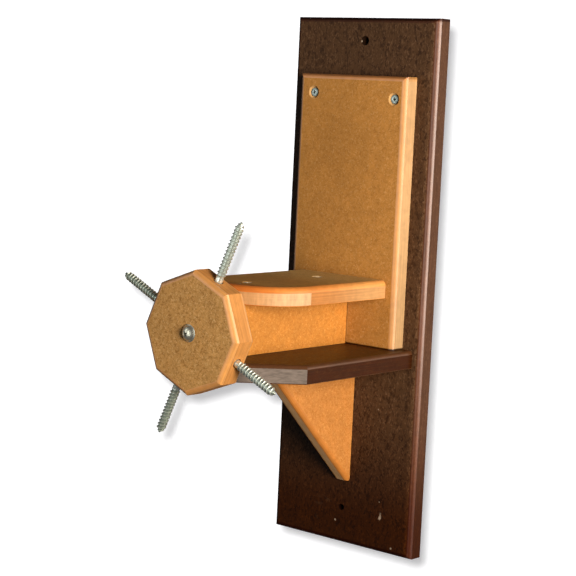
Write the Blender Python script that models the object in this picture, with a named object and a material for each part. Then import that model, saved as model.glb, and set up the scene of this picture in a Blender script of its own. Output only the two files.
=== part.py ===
"""Squirrel feeder that hangs on a tree or a wall.

A back board carries a panel, an upper shelf, a web, a lower shelf and a brace. An octagonal wheel
turns on an axle screw at the front of the web and holds four lag-ended bolts for corn cobs.

The frame: x = 0 is the middle of the back board, y = 0 is its back face with the front toward -Y,
z = 0 is its mid-height and +Z is up. All lengths are in metres.
"""
from dataclasses import dataclass
from math import atan2, cos, pi, radians, sin, sqrt

import bmesh
import bpy
from mathutils import Matrix, Vector

MM = 0.001

# Clearances
SEAT_GAP = 0.3 * MM
CUT_OVERRUN = 2.0 * MM
BORE_BOTTOM_GAP = 1.0 * MM
MERGE_DISTANCE = 0.001 * MM

# Board stock
STOCK = 19.05 * MM
ROUND_STEPS = 5
EASE_RADIUS = 0.8 * MM
EASE_STEPS = 2

# Back board
BACK_WIDTH = 190.5 * MM
BACK_HEIGHT = 571.5 * MM
BACK_ROUND = 5.0 * MM
HANG_HOLE_RADIUS = 2.75 * MM
TOP_HOLE_INSET = 24.45 * MM
TOP_SINK_RADIUS = 5.0 * MM
BOTTOM_HOLE_INSET = 39.65 * MM
BOTTOM_SINK_RADIUS = 4.5 * MM

# Lower shelf, the squirrel's seat
SEAT_ABOVE_FOOT = 224.25 * MM
SEAT_WIDTH = 168.9 * MM
SEAT_DEPTH = 223.65 * MM
SEAT_CLIP = 52.0 * MM
SEAT_ROUND = 4.0 * MM

# Upper panel
PANEL_WIDTH = 142.5 * MM
PANEL_TOP_INSET = 61.25 * MM
PANEL_ROUND = 5.0 * MM

# Web between the two shelves
WEB_HEIGHT = 53.5 * MM

# Upper shelf with its half-round nose
SHELF_WIDTH = 118.4 * MM
SHELF_LENGTH = 180.5 * MM
SHELF_ROUND = 6.0 * MM
NOSE_STEPS = 24

# Brace under the lower shelf
BRACE_DEPTH = 139.3 * MM
BRACE_DROP = 134.0 * MM
BRACE_TIP = 3.5 * MM
BRACE_ROUND = 5.0 * MM
BRACE_SPARE = 40.0 * MM

# Wheel
WHEEL_FLATS = 115.2 * MM
WHEEL_THICKNESS = 27.0 * MM
WHEEL_SIDES = 8
WHEEL_TURN = radians(20.7)
WHEEL_ROUND = 5.0 * MM

# Axle screw, with a washer behind the wheel
AXLE_ABOVE_SEAT = 27.8 * MM
AXLE_RADIUS = 3.95 * MM
AXLE_LENGTH = 63.5 * MM
AXLE_POINT = 8.0 * MM
AXLE_FLANGE_RADIUS = 8.8 * MM
AXLE_FLANGE_THICKNESS = 1.0 * MM
AXLE_DOME_RADIUS = 7.6 * MM
AXLE_HEAD_HEIGHT = 5.8 * MM
AXLE_HEAD_STEPS = 7
AXLE_SINK_RADIUS = 2.6 * MM
AXLE_SINK_DEPTH = 2.6 * MM
WASHER_RADIUS = 10.3 * MM
WASHER_THICKNESS = 1.6 * MM
BORE_RADIUS = AXLE_RADIUS + SEAT_GAP

# Corn bolts: each stands on its own flat of the wheel, and each is driven in to its own depth
BOLT_LENGTH = 88.9 * MM
BOLT_THREAD_RADIUS = 4.75 * MM
BOLT_SHANK_RADIUS = 3.95 * MM
BOLT_POINT = 7.0 * MM
BOLT_TIP_RADIUS = 1.3 * MM
BOLT_LAG_LENGTH = 54.0 * MM
BOLT_STEP = 0.9 * MM
BOLT_END_CHAMFER = 1.0 * MM
BOLT_QUARTER = pi / 2
PROUD_UPPER_RIGHT = 65.3 * MM
PROUD_UPPER_LEFT = 57.0 * MM
PROUD_LOWER_LEFT = 60.4 * MM
PROUD_LOWER_RIGHT = 54.8 * MM

# Countersunk wood screws
SCREW_HEAD_RADIUS = 4.7 * MM
SCREW_HEAD_RIM = 0.5 * MM
SCREW_RADIUS = 2.4 * MM
SCREW_NECK_RADIUS = 1.8 * MM
SCREW_NECK_LENGTH = 9.0 * MM
SCREW_POINT = 5.0 * MM
SCREW_SINK = 0.4 * MM
PANEL_SCREW_SINK = 1.2 * MM
SHORT_SCREW = 31.75 * MM
SCREW_LENGTH = 41.3 * MM
LONG_SCREW = 63.5 * MM

# Screw places, each measured from the nearest edges of the board that it holds
PANEL_SCREW_LEFT_INSET = (19.55 * MM, 19.9 * MM)
PANEL_SCREW_RIGHT_INSET = (14.65 * MM, 23.6 * MM)
SHELF_SCREW_FRONT_INSET = 29.2 * MM
SHELF_SCREW_REAR_INSET = 41.3 * MM
WEB_SCREW_INSET = 15.0 * MM
WEB_SCREW_UNDER_INSET = 67.0 * MM
SEAT_SCREW_INSET = 29.0 * MM
BRACE_SCREW_UPPER_DROP = 29.0 * MM
BRACE_SCREW_LOWER_DROP = 89.0 * MM
BRACE_SCREW_REAR_INSET = 40.0 * MM
BRACE_SCREW_FRONT_INSET = 96.0 * MM

# Roundness of turned pieces
SCREW_SIDES = 20
BOLT_SIDES = 24
WASHER_SIDES = 32

# Planes that the pieces share
BACK_TOP_Z = BACK_HEIGHT / 2
BACK_FOOT_Z = -BACK_HEIGHT / 2
BACK_FRONT_Y = -STOCK
PANEL_BACK_Y = BACK_FRONT_Y - SEAT_GAP
PANEL_FRONT_Y = PANEL_BACK_Y - STOCK
SHELF_BACK_Y = PANEL_FRONT_Y - SEAT_GAP
SHELF_FRONT_Y = SHELF_BACK_Y - SHELF_LENGTH
SEAT_BACK_Y = BACK_FRONT_Y - SEAT_GAP
SEAT_FRONT_Y = SEAT_BACK_Y - SEAT_DEPTH
SEAT_TOP_Z = BACK_FOOT_Z + SEAT_ABOVE_FOOT
SEAT_BOTTOM_Z = SEAT_TOP_Z - STOCK
WEB_BOTTOM_Z = SEAT_TOP_Z + SEAT_GAP
WEB_TOP_Z = WEB_BOTTOM_Z + WEB_HEIGHT
WEB_FRONT_Y = SEAT_FRONT_Y
SHELF_BOTTOM_Z = WEB_TOP_Z + SEAT_GAP
SHELF_TOP_Z = SHELF_BOTTOM_Z + STOCK
PANEL_BOTTOM_Z = SEAT_TOP_Z + SEAT_GAP
PANEL_TOP_Z = BACK_TOP_Z - PANEL_TOP_INSET
BRACE_TOP_Z = SEAT_BOTTOM_Z - SEAT_GAP
AXLE_Z = SEAT_TOP_Z + AXLE_ABOVE_SEAT
WASHER_Y = WEB_FRONT_Y - SEAT_GAP
WHEEL_BACK_Y = WASHER_Y - WASHER_THICKNESS - SEAT_GAP
WHEEL_FRONT_Y = WHEEL_BACK_Y - WHEEL_THICKNESS
WHEEL_MID_Y = (WHEEL_BACK_Y + WHEEL_FRONT_Y) / 2
AXLE_SEAT_Y = WHEEL_FRONT_Y - SEAT_GAP

# Ways that a piece's own +Z can point
FACING_UP = Matrix.Identity(4)
FACING_DOWN = Matrix.Rotation(pi, 4, "X")
FACING_FRONT = Matrix.Rotation(pi / 2, 4, "X")
FACING_BACK = Matrix.Rotation(-pi / 2, 4, "X")
FACING_LEFT = Matrix.Rotation(-pi / 2, 4, "Z") @ Matrix.Rotation(pi / 2, 4, "X")


@dataclass(frozen=True)
class Finish:
    """Colour, roughness and metallic value of one material."""

    colour: tuple
    roughness: float
    metallic: float


TAN_BOARD = Finish((0.56, 0.30, 0.10), 0.62, 0.0)
BROWN_BOARD = Finish((0.075, 0.040, 0.022), 0.55, 0.0)
ZINC = Finish((0.62, 0.64, 0.55), 0.32, 1.0)
STAINLESS = Finish((0.60, 0.58, 0.54), 0.28, 1.0)


def clear_scene():
    """Remove every object that the scene starts with."""
    for item in list(bpy.data.objects):
        bpy.data.objects.remove(item, do_unlink=True)


def make_material(name, finish):
    """Return a Principled material for one node."""
    material = bpy.data.materials.new(name)
    material.use_nodes = True
    shader = material.node_tree.nodes["Principled BSDF"]
    shader.inputs["Base Color"].default_value = (*finish.colour, 1.0)
    shader.inputs["Roughness"].default_value = finish.roughness
    shader.inputs["Metallic"].default_value = finish.metallic
    material.diffuse_color = (*finish.colour, 1.0)
    return material


def mesh_object(name, bm, placement):
    """Turn a bmesh into an object with smooth round faces and crisp corners."""
    bmesh.ops.recalc_face_normals(bm, faces=bm.faces[:])
    mesh = bpy.data.meshes.new(name)
    bm.to_mesh(mesh)
    bm.free()
    for polygon in mesh.polygons:
        polygon.use_smooth = True
    mesh.set_sharp_from_angle(angle=radians(30))
    item = bpy.data.objects.new(name, mesh)
    bpy.context.scene.collection.objects.link(item)
    item.location = placement.to_translation()
    item.rotation_euler = placement.to_euler()
    return item


def make_node(name, bm, finish, placement):
    """Add one physical piece of the feeder with its own material."""
    item = mesh_object(name, bm, placement)
    item.data.materials.append(make_material(name, finish))
    return item


def hang_on(parent, item):
    """Parent an object without moving it."""
    item.parent = parent
    item.matrix_parent_inverse = parent.matrix_basis.inverted()


def plate(outline, thickness, base=0.0):
    """Extrude a flat outline along its own +Z."""
    bm = bmesh.new()
    corners = [bm.verts.new((x, y, base)) for x, y in outline]
    face = bm.faces.new(corners)
    grown = bmesh.ops.extrude_face_region(bm, geom=[face])
    top = [v for v in grown["geom"] if isinstance(v, bmesh.types.BMVert)]
    bmesh.ops.translate(bm, verts=top, vec=(0, 0, thickness))
    bmesh.ops.recalc_face_normals(bm, faces=bm.faces[:])
    return bm


def rim_edges(bm, height, skip=None):
    """Return the edges that lie at one height, without those that skip() names."""
    rim = []
    for edge in bm.edges:
        level = all(abs(v.co.z - height) < SEAT_GAP for v in edge.verts)
        middle = (edge.verts[0].co + edge.verts[1].co) / 2
        if level and not (skip and skip(middle)):
            rim.append(edge)
    return rim


def round_edges(bm, edges, radius, steps):
    """Round the given edges over to a quarter circle."""
    bmesh.ops.bevel(bm, geom=edges, offset=radius, segments=steps, profile=0.5,
                    affect="EDGES", clamp_overlap=True, material=-1)


def box_outline(width, low, high):
    """Return a rectangle that is centred in x."""
    half = width / 2
    return [(-half, low), (half, low), (half, high), (-half, high)]


def polygon_outline(sides, apothem):
    """Return a regular polygon with a flat facing +X."""
    corner = apothem / cos(pi / sides)
    turns = [2 * pi * (k + 0.5) / sides for k in range(sides)]
    return [(corner * cos(t), corner * sin(t)) for t in turns]


def turned(profile, sides, closed=False):
    """Spin a profile of (radius, height) points once around the local Z axis.

    The first corner stands half a side off the local X axis, so that no two bores on one line
    share a corner's plane.
    """
    bm = bmesh.new()
    half = pi / sides
    points = [bm.verts.new((r * cos(half), r * sin(half), z)) for r, z in profile]
    pairs = list(zip(points, points[1:]))
    if closed:
        pairs.append((points[-1], points[0]))
    lines = [bm.edges.new(pair) for pair in pairs]
    bmesh.ops.spin(bm, geom=points + lines, cent=(0, 0, 0), axis=(0, 0, 1), dvec=(0, 0, 0),
                   angle=2 * pi, steps=sides, use_merge=True)
    bmesh.ops.remove_doubles(bm, verts=bm.verts[:], dist=MERGE_DISTANCE)
    bmesh.ops.recalc_face_normals(bm, faces=bm.faces[:])
    return bm


def ring(outer, inner, length, sides):
    """Return a plain ring that stands on z = 0."""
    return turned([(inner, 0), (outer, 0), (outer, length), (inner, length)], sides, closed=True)


def cutter(name, bm, placement):
    """Add a hidden solid that is taken away from boards."""
    item = mesh_object(name, bm, placement)
    item.hide_render = True
    item.display_type = "WIRE"
    return item


def cut(board, tool):
    """Take a cutter away from a board."""
    modifier = board.modifiers.new(tool.name, "BOOLEAN")
    modifier.operation = "DIFFERENCE"
    modifier.solver = "EXACT"
    modifier.object = tool


def screw_profile(length):
    """Return a countersunk wood screw from its head's top at z = 0 down to its point."""
    cone_end = -SCREW_HEAD_RIM - (SCREW_HEAD_RADIUS - SCREW_NECK_RADIUS)
    neck_end = cone_end - SCREW_NECK_LENGTH
    swell = SCREW_RADIUS - SCREW_NECK_RADIUS
    return [(0, 0), (SCREW_HEAD_RADIUS, 0), (SCREW_HEAD_RADIUS, -SCREW_HEAD_RIM),
            (SCREW_NECK_RADIUS, cone_end), (SCREW_NECK_RADIUS, neck_end),
            (SCREW_RADIUS, neck_end - swell), (SCREW_RADIUS, SCREW_POINT - length), (0, -length)]


def screw_bore_profile(length):
    """Return the countersunk bore that a wood screw sits in with the seat gap all round.

    The countersink is one plain cone, so it stands a little wider than the sunk head.
    """
    narrow = SCREW_RADIUS + SEAT_GAP
    wide = SCREW_HEAD_RADIUS + SCREW_HEAD_RIM + SEAT_GAP * sqrt(2)
    return [(0, CUT_OVERRUN), (wide + CUT_OVERRUN, CUT_OVERRUN), (narrow, narrow - wide),
            (narrow, SCREW_POINT - length - BORE_BOTTOM_GAP), (0, -length - BORE_BOTTOM_GAP)]


def add_screw(name, head, facing, length, boards, sink=SCREW_SINK):
    """Add a wood screw and cut its bore through the boards that it joins."""
    sunk = Matrix.Translation(head) @ facing @ Matrix.Translation((0, 0, -sink))
    make_node(name, turned(screw_profile(length), SCREW_SIDES), ZINC, sunk)
    tool = cutter(name + "_bore", turned(screw_bore_profile(length), SCREW_SIDES), sunk)
    for board in boards:
        cut(board, tool)


def hang_hole_profile(sink_radius):
    """Return a through hole with a countersink that has its stated radius at z = 0."""
    cone = sink_radius - HANG_HOLE_RADIUS
    return [(0, CUT_OVERRUN), (sink_radius + CUT_OVERRUN, CUT_OVERRUN),
            (HANG_HOLE_RADIUS, -cone), (HANG_HOLE_RADIUS, -STOCK - CUT_OVERRUN),
            (0, -STOCK - CUT_OVERRUN)]


def make_back_board():
    """Return the back board with its two countersunk hanging holes."""
    bm = plate(box_outline(BACK_WIDTH, BACK_FOOT_Z, BACK_TOP_Z), STOCK)
    round_edges(bm, rim_edges(bm, STOCK), BACK_ROUND, ROUND_STEPS)
    board = make_node("back_board", bm, BROWN_BOARD, FACING_FRONT)
    holes = (("top_hole", BACK_TOP_Z - TOP_HOLE_INSET, TOP_SINK_RADIUS),
             ("bottom_hole", BACK_FOOT_Z + BOTTOM_HOLE_INSET, BOTTOM_SINK_RADIUS))
    for name, height, sink in holes:
        place = Matrix.Translation((0, BACK_FRONT_Y, height)) @ FACING_FRONT
        cut(board, cutter(name, turned(hang_hole_profile(sink), SCREW_SIDES), place))
    return board


def make_upper_panel():
    """Return the panel above the seat, square at its foot and rounded on its other edges."""
    height = PANEL_TOP_Z - PANEL_BOTTOM_Z
    bm = plate(box_outline(PANEL_WIDTH, 0, height), STOCK)
    rim = rim_edges(bm, STOCK, skip=lambda middle: middle.y < SEAT_GAP)
    round_edges(bm, rim, PANEL_ROUND, ROUND_STEPS)
    place = Matrix.Translation((0, PANEL_BACK_Y, PANEL_BOTTOM_Z)) @ FACING_FRONT
    return make_node("upper_panel", bm, TAN_BOARD, place)


def make_lower_shelf():
    """Return the seat with its two clipped front corners."""
    half = SEAT_WIDTH / 2
    back = SEAT_BACK_Y
    front = SEAT_FRONT_Y
    outline = [(half, back), (-half, back), (-half, front + SEAT_CLIP),
               (-half + SEAT_CLIP, front), (half - SEAT_CLIP, front), (half, front + SEAT_CLIP)]
    bm = plate(outline, STOCK)
    rim = rim_edges(bm, STOCK, skip=lambda middle: middle.y > back - SEAT_GAP)
    round_edges(bm, rim, SEAT_ROUND, ROUND_STEPS)
    rim = rim_edges(bm, 0, skip=lambda middle: middle.y > back - SEAT_GAP)
    round_edges(bm, rim, EASE_RADIUS, EASE_STEPS)
    place = Matrix.Translation((0, 0, SEAT_BOTTOM_Z))
    return make_node("lower_shelf", bm, BROWN_BOARD, place)


def make_upper_shelf():
    """Return the shelf above the web, with straight sides and a half-round nose."""
    half = SHELF_WIDTH / 2
    centre = SHELF_FRONT_Y + half
    turns = [pi + pi * k / NOSE_STEPS for k in range(NOSE_STEPS + 1)]
    nose = [(half * cos(t), centre + half * sin(t)) for t in turns]
    bm = plate([(half, SHELF_BACK_Y), (-half, SHELF_BACK_Y)] + nose, STOCK)
    rim = rim_edges(bm, STOCK, skip=lambda middle: middle.y > SHELF_BACK_Y - SEAT_GAP)
    round_edges(bm, rim, SHELF_ROUND, ROUND_STEPS)
    rim = rim_edges(bm, 0, skip=lambda middle: middle.y > SHELF_BACK_Y - SEAT_GAP)
    round_edges(bm, rim, EASE_RADIUS, EASE_STEPS)
    place = Matrix.Translation((0, 0, SHELF_BOTTOM_Z))
    return make_node("upper_shelf", bm, TAN_BOARD, place)


def make_centre_web():
    """Return the upright web between the two shelves, which also carries the axle."""
    depth = SHELF_BACK_Y - WEB_FRONT_Y
    bm = plate([(0, 0), (depth, 0), (depth, WEB_HEIGHT), (0, WEB_HEIGHT)], STOCK, -STOCK / 2)
    front = [e for e in bm.edges if all(v.co.x > depth - SEAT_GAP for v in e.verts)]
    round_edges(bm, front, EASE_RADIUS, EASE_STEPS)
    place = Matrix.Translation((0, SHELF_BACK_Y, WEB_BOTTOM_Z)) @ FACING_LEFT
    return make_node("centre_web", bm, TAN_BOARD, place)


def make_brace():
    """Return the triangular brace with both long edges rounded and a blunt tip."""
    slope = Vector((BRACE_DEPTH - BRACE_TIP, BRACE_DROP)).normalized()
    low = Vector((BRACE_TIP, -BRACE_DROP)) - slope * BRACE_SPARE
    high = Vector((BRACE_DEPTH, 0)) + slope * BRACE_SPARE
    outline = [low, high, (-BRACE_SPARE, high.y), (-BRACE_SPARE, low.y)]
    bm = plate(outline, STOCK, -STOCK / 2)
    long_edges = []
    for edge in bm.edges:
        along = (edge.verts[1].co - edge.verts[0].co).normalized()
        if abs(along.dot(Vector((slope.x, slope.y, 0)))) > 0.999:
            long_edges.append(edge)
    round_edges(bm, long_edges, BRACE_ROUND, ROUND_STEPS)
    trims = (((0, 0, 0), (0, 1, 0)), ((0, 0, 0), (-1, 0, 0)), ((0, -BRACE_DROP, 0), (0, -1, 0)))
    for point, normal in trims:
        trimmed = bmesh.ops.bisect_plane(bm, geom=bm.verts[:] + bm.edges[:] + bm.faces[:],
                                         plane_co=point, plane_no=normal, clear_outer=True)
        rim = [e for e in trimmed["geom_cut"] if isinstance(e, bmesh.types.BMEdge)]
        bmesh.ops.edgeloop_fill(bm, edges=rim)
    place = Matrix.Translation((0, SEAT_BACK_Y, BRACE_TOP_Z)) @ FACING_LEFT
    return make_node("brace", bm, TAN_BOARD, place)


def wheel_frame(turn):
    """Return the placement at the wheel's middle, turned from +X toward +Z about the axle."""
    return Matrix.Translation((0, WHEEL_MID_Y, AXLE_Z)) @ Matrix.Rotation(-turn, 4, "Y")


def make_wheel(spinner):
    """Return the octagonal wheel, rounded over on both faces."""
    half = WHEEL_THICKNESS / 2
    bm = plate(polygon_outline(WHEEL_SIDES, WHEEL_FLATS / 2), WHEEL_THICKNESS, -half)
    round_edges(bm, rim_edges(bm, half), WHEEL_ROUND, ROUND_STEPS)
    round_edges(bm, rim_edges(bm, -half), WHEEL_ROUND, ROUND_STEPS)
    wheel = make_node("wheel", bm, TAN_BOARD, wheel_frame(WHEEL_TURN) @ FACING_FRONT)
    hang_on(spinner, wheel)
    return wheel


def bolt_profile():
    """Return a corn bolt from its flat inner end at z = 0 up to its blunt point."""
    lag_start = BOLT_LENGTH - BOLT_LAG_LENGTH
    return [(0, 0), (BOLT_SHANK_RADIUS - BOLT_END_CHAMFER, 0),
            (BOLT_SHANK_RADIUS, BOLT_END_CHAMFER), (BOLT_SHANK_RADIUS, lag_start),
            (BOLT_THREAD_RADIUS, lag_start + BOLT_STEP),
            (BOLT_THREAD_RADIUS, BOLT_LENGTH - BOLT_POINT),
            (BOLT_TIP_RADIUS, BOLT_LENGTH), (0, BOLT_LENGTH)]


def bolt_bore_profile(depth):
    """Return the blind hole for a corn bolt, from its bottom up past the wheel's flat."""
    radius = BOLT_THREAD_RADIUS + SEAT_GAP
    return [(0, -BORE_BOTTOM_GAP), (radius, -BORE_BOTTOM_GAP),
            (radius, depth + CUT_OVERRUN), (0, depth + CUT_OVERRUN)]


def add_corn_bolt(name, quarter, proud, wheel, spinner):
    """Add a corn bolt that stands square on one flat, and cut its hole in the wheel."""
    turn = WHEEL_TURN + 2 * pi / WHEEL_SIDES + quarter * BOLT_QUARTER
    depth = BOLT_LENGTH - proud
    root = WHEEL_FLATS / 2 - depth
    outward = Matrix.Translation((root, 0, 0)) @ Matrix.Rotation(pi / 2, 4, "Y")
    place = wheel_frame(turn) @ outward
    bolt = make_node(name, turned(bolt_profile(), BOLT_SIDES), ZINC, place)
    hang_on(spinner, bolt)
    tool = cutter(name + "_hole", turned(bolt_bore_profile(depth), BOLT_SIDES), place)
    hang_on(spinner, tool)
    cut(wheel, tool)


def axle_head_points():
    """Return the domed head from the middle of its drive recess out to its flange."""
    rise = AXLE_HEAD_HEIGHT - AXLE_FLANGE_THICKNESS
    dome = (AXLE_DOME_RADIUS ** 2 + rise ** 2) / (2 * rise)
    low_turn = atan2(AXLE_DOME_RADIUS, dome - rise)
    high_turn = atan2(AXLE_SINK_RADIUS, sqrt(dome ** 2 - AXLE_SINK_RADIUS ** 2))
    lift = AXLE_HEAD_HEIGHT - dome
    arc = []
    for k in range(AXLE_HEAD_STEPS + 1):
        turn = high_turn + (low_turn - high_turn) * k / AXLE_HEAD_STEPS
        arc.append((dome * sin(turn), lift + dome * cos(turn)))
    floor = arc[0][1] - AXLE_SINK_DEPTH
    return [(0, floor), (AXLE_SINK_RADIUS, floor)] + arc


def axle_profile():
    """Return the axle screw with the underside of its head at z = 0."""
    flange = [(AXLE_FLANGE_RADIUS, AXLE_FLANGE_THICKNESS), (AXLE_FLANGE_RADIUS, 0)]
    shank = [(AXLE_RADIUS, 0), (AXLE_RADIUS, AXLE_POINT - AXLE_LENGTH), (0, -AXLE_LENGTH)]
    return axle_head_points() + flange + shank


def add_axle(wheel, web):
    """Add the axle screw and its washer, and bore the wheel and the web for the screw."""
    place = Matrix.Translation((0, AXLE_SEAT_Y, AXLE_Z)) @ FACING_FRONT
    make_node("axle_screw", turned(axle_profile(), BOLT_SIDES), STAINLESS, place)
    bore = [(0, CUT_OVERRUN), (BORE_RADIUS, CUT_OVERRUN),
            (BORE_RADIUS, AXLE_POINT - AXLE_LENGTH - BORE_BOTTOM_GAP),
            (0, -AXLE_LENGTH - BORE_BOTTOM_GAP)]
    tool = cutter("axle_bore", turned(bore, BOLT_SIDES), place)
    cut(wheel, tool)
    cut(web, tool)
    disc = ring(WASHER_RADIUS, BORE_RADIUS, WASHER_THICKNESS, WASHER_SIDES)
    make_node("washer", disc, ZINC, Matrix.Translation((0, WASHER_Y, AXLE_Z)) @ FACING_FRONT)


def add_panel_screws(panel, back_board):
    """Add the two screws that are seen in the panel's upper corners."""
    side, drop = PANEL_SCREW_LEFT_INSET
    add_screw("panel_screw_left", (side - PANEL_WIDTH / 2, PANEL_FRONT_Y, PANEL_TOP_Z - drop),
              FACING_FRONT, SHORT_SCREW, [panel, back_board], PANEL_SCREW_SINK)
    side, drop = PANEL_SCREW_RIGHT_INSET
    add_screw("panel_screw_right", (PANEL_WIDTH / 2 - side, PANEL_FRONT_Y, PANEL_TOP_Z - drop),
              FACING_FRONT, SHORT_SCREW, [panel, back_board], PANEL_SCREW_SINK)


def add_upright_screws(shelf, web, seat, brace):
    """Add the screws on the centre line that stand upright in the shelves."""
    front = SHELF_FRONT_Y + SHELF_SCREW_FRONT_INSET
    add_screw("shelf_screw_front", (0, front, SHELF_TOP_Z), FACING_UP, SCREW_LENGTH, [shelf, web])
    rear = SHELF_BACK_Y - SHELF_SCREW_REAR_INSET
    add_screw("shelf_screw_rear", (0, rear, SHELF_TOP_Z), FACING_UP, SCREW_LENGTH, [shelf, web])
    under = SEAT_FRONT_Y + WEB_SCREW_UNDER_INSET
    add_screw("web_screw_under", (0, under, SEAT_BOTTOM_Z), FACING_DOWN, SCREW_LENGTH, [seat, web])
    front = SEAT_BACK_Y - BRACE_SCREW_FRONT_INSET
    add_screw("brace_screw_front", (0, front, SEAT_TOP_Z), FACING_UP, SCREW_LENGTH, [seat, brace])
    rear = SEAT_BACK_Y - BRACE_SCREW_REAR_INSET
    add_screw("brace_screw_rear", (0, rear, SEAT_TOP_Z), FACING_UP, SCREW_LENGTH, [seat, brace])


def add_back_screws(back_board, panel, web, seat, brace):
    """Add the screws that come from behind through the back board."""
    high = WEB_TOP_Z - WEB_SCREW_INSET
    low = WEB_BOTTOM_Z + WEB_SCREW_INSET
    through = [back_board, panel, web]
    add_screw("web_screw_upper", (0, 0, high), FACING_BACK, LONG_SCREW, through)
    add_screw("web_screw_lower", (0, 0, low), FACING_BACK, LONG_SCREW, through)
    side = SEAT_WIDTH / 2 - SEAT_SCREW_INSET
    level = (SEAT_TOP_Z + SEAT_BOTTOM_Z) / 2
    through = [back_board, seat]
    add_screw("seat_screw_left", (-side, 0, level), FACING_BACK, SCREW_LENGTH, through)
    add_screw("seat_screw_right", (side, 0, level), FACING_BACK, SCREW_LENGTH, through)
    high = BRACE_TOP_Z - BRACE_SCREW_UPPER_DROP
    low = BRACE_TOP_Z - BRACE_SCREW_LOWER_DROP
    through = [back_board, brace]
    add_screw("brace_screw_upper", (0, 0, high), FACING_BACK, SCREW_LENGTH, through)
    add_screw("brace_screw_lower", (0, 0, low), FACING_BACK, SCREW_LENGTH, through)


def build():
    """Build the whole feeder."""
    clear_scene()
    back_board = make_back_board()
    panel = make_upper_panel()
    seat = make_lower_shelf()
    web = make_centre_web()
    shelf = make_upper_shelf()
    brace = make_brace()
    add_panel_screws(panel, back_board)
    add_upright_screws(shelf, web, seat, brace)
    add_back_screws(back_board, panel, web, seat, brace)
    spinner = bpy.data.objects.new("spinner", None)
    spinner.location = (0, WHEEL_MID_Y, AXLE_Z)
    bpy.context.scene.collection.objects.link(spinner)
    wheel = make_wheel(spinner)
    add_axle(wheel, web)
    bolts = (("corn_bolt_upper_right", PROUD_UPPER_RIGHT),
             ("corn_bolt_upper_left", PROUD_UPPER_LEFT),
             ("corn_bolt_lower_left", PROUD_LOWER_LEFT),
             ("corn_bolt_lower_right", PROUD_LOWER_RIGHT))
    for quarter, (name, proud) in enumerate(bolts):
        add_corn_bolt(name, quarter, proud, wheel, spinner)


build()
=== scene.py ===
"""Looks of a wall-hung squirrel feeder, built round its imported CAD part.

Boards are routed plates with their own grain maps, bolts and screws are turned and threaded, and
every finish is procedural. The camera and the light follow the photograph.
"""
import logging
from dataclasses import dataclass, field, replace
from enum import Enum
from math import asin, atan2, cos, hypot, pi, radians, sin, sqrt
from typing import Callable, Optional, Sequence

import bmesh
import bpy
from mathutils import Matrix, Vector


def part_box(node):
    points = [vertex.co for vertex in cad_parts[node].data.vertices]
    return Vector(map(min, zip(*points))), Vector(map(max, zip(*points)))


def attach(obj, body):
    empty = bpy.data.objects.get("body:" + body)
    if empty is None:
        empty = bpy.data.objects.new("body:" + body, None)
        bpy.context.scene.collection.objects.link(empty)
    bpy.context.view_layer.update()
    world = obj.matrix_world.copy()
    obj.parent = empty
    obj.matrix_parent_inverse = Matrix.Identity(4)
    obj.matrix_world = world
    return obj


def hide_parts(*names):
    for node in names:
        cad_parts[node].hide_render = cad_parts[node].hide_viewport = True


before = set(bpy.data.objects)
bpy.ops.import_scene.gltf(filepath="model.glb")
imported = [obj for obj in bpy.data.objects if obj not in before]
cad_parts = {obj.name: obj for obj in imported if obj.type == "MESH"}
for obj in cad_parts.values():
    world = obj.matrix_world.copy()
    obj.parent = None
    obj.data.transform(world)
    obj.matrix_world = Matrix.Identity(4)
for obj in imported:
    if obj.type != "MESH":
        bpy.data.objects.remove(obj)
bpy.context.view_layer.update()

LOG = logging.getLogger("feeder")
MM = 0.001
MERGE = 1e-6
LEVEL = 1e-5
SHARP_ANGLE = radians(32)

# How far a face's normal leans: above the first it lies flat, below the second it stands upright
FLAT_LEAN = 0.9995
UPRIGHT_LEAN = 0.004

# Sizes that the CAD part has too
SEAT_GAP = 0.3 * MM
OVERRUN = 2.0 * MM
BORE_BOTTOM_GAP = 1.0 * MM
STOCK = 19.05 * MM
WHEEL_FLATS = 115.2 * MM
ROUTED = 5.0 * MM
EASED = 0.8 * MM

Point = tuple[float, float]
Colour = tuple[float, float, float]


class Body(Enum):
    """CAD bodies that pieces ride on."""

    FRAME = "frame"
    SPINNER = "spinner"


class Slot(Enum):
    """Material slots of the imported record."""

    BROWN = "brown_board"
    TAN = "tan_board"
    WHEEL = "wheel_board"
    ZINC = "zinc_steel"
    SCREW = "screw_steel"
    AXLE = "axle_steel"


class Zone(Enum):
    """Kinds of surface on a board, as stored in its zone attribute."""

    FACE = 0
    ROUND = 1
    SIDE = 2
    SAWN = 3
    BORE = 4


class Axis(Enum):
    """Axes of the frame, by their place in a vector."""

    X = 0
    Y = 1
    Z = 2


class Facing(Enum):
    """Ways that a piece's own +Z can point."""

    UP = "up"
    DOWN = "down"
    FRONT = "front"
    BACK = "back"
    LEFT = "left"

    def turn(self) -> Matrix:
        """Return the turn from the piece's own axes to the frame's.

        Returns:
            Matrix: a 4 x 4 rotation.
        """
        if self is Facing.DOWN:
            return Matrix.Rotation(pi, 4, "X")
        if self is Facing.FRONT:
            return Matrix.Rotation(pi / 2, 4, "X")
        if self is Facing.BACK:
            return Matrix.Rotation(-pi / 2, 4, "X")
        if self is Facing.LEFT:
            return Matrix.Rotation(-pi / 2, 4, "Z") @ Matrix.Rotation(pi / 2, 4, "X")
        return Matrix.Identity(4)


def srgb(red: int, green: int, blue: int) -> Colour:
    """Turn 8-bit screen values into linear ones.

    Args:
        red (int): 0 to 255.
        green (int): 0 to 255.
        blue (int): 0 to 255.

    Returns:
        Colour: linear red, green and blue.
    """
    def line(value: int) -> float:
        """Return one channel on the linear scale."""
        part = value / 255
        return part / 12.92 if part <= 0.04045 else ((part + 0.055) / 1.055) ** 2.4

    return line(red), line(green), line(blue)


# Finishes


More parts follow.
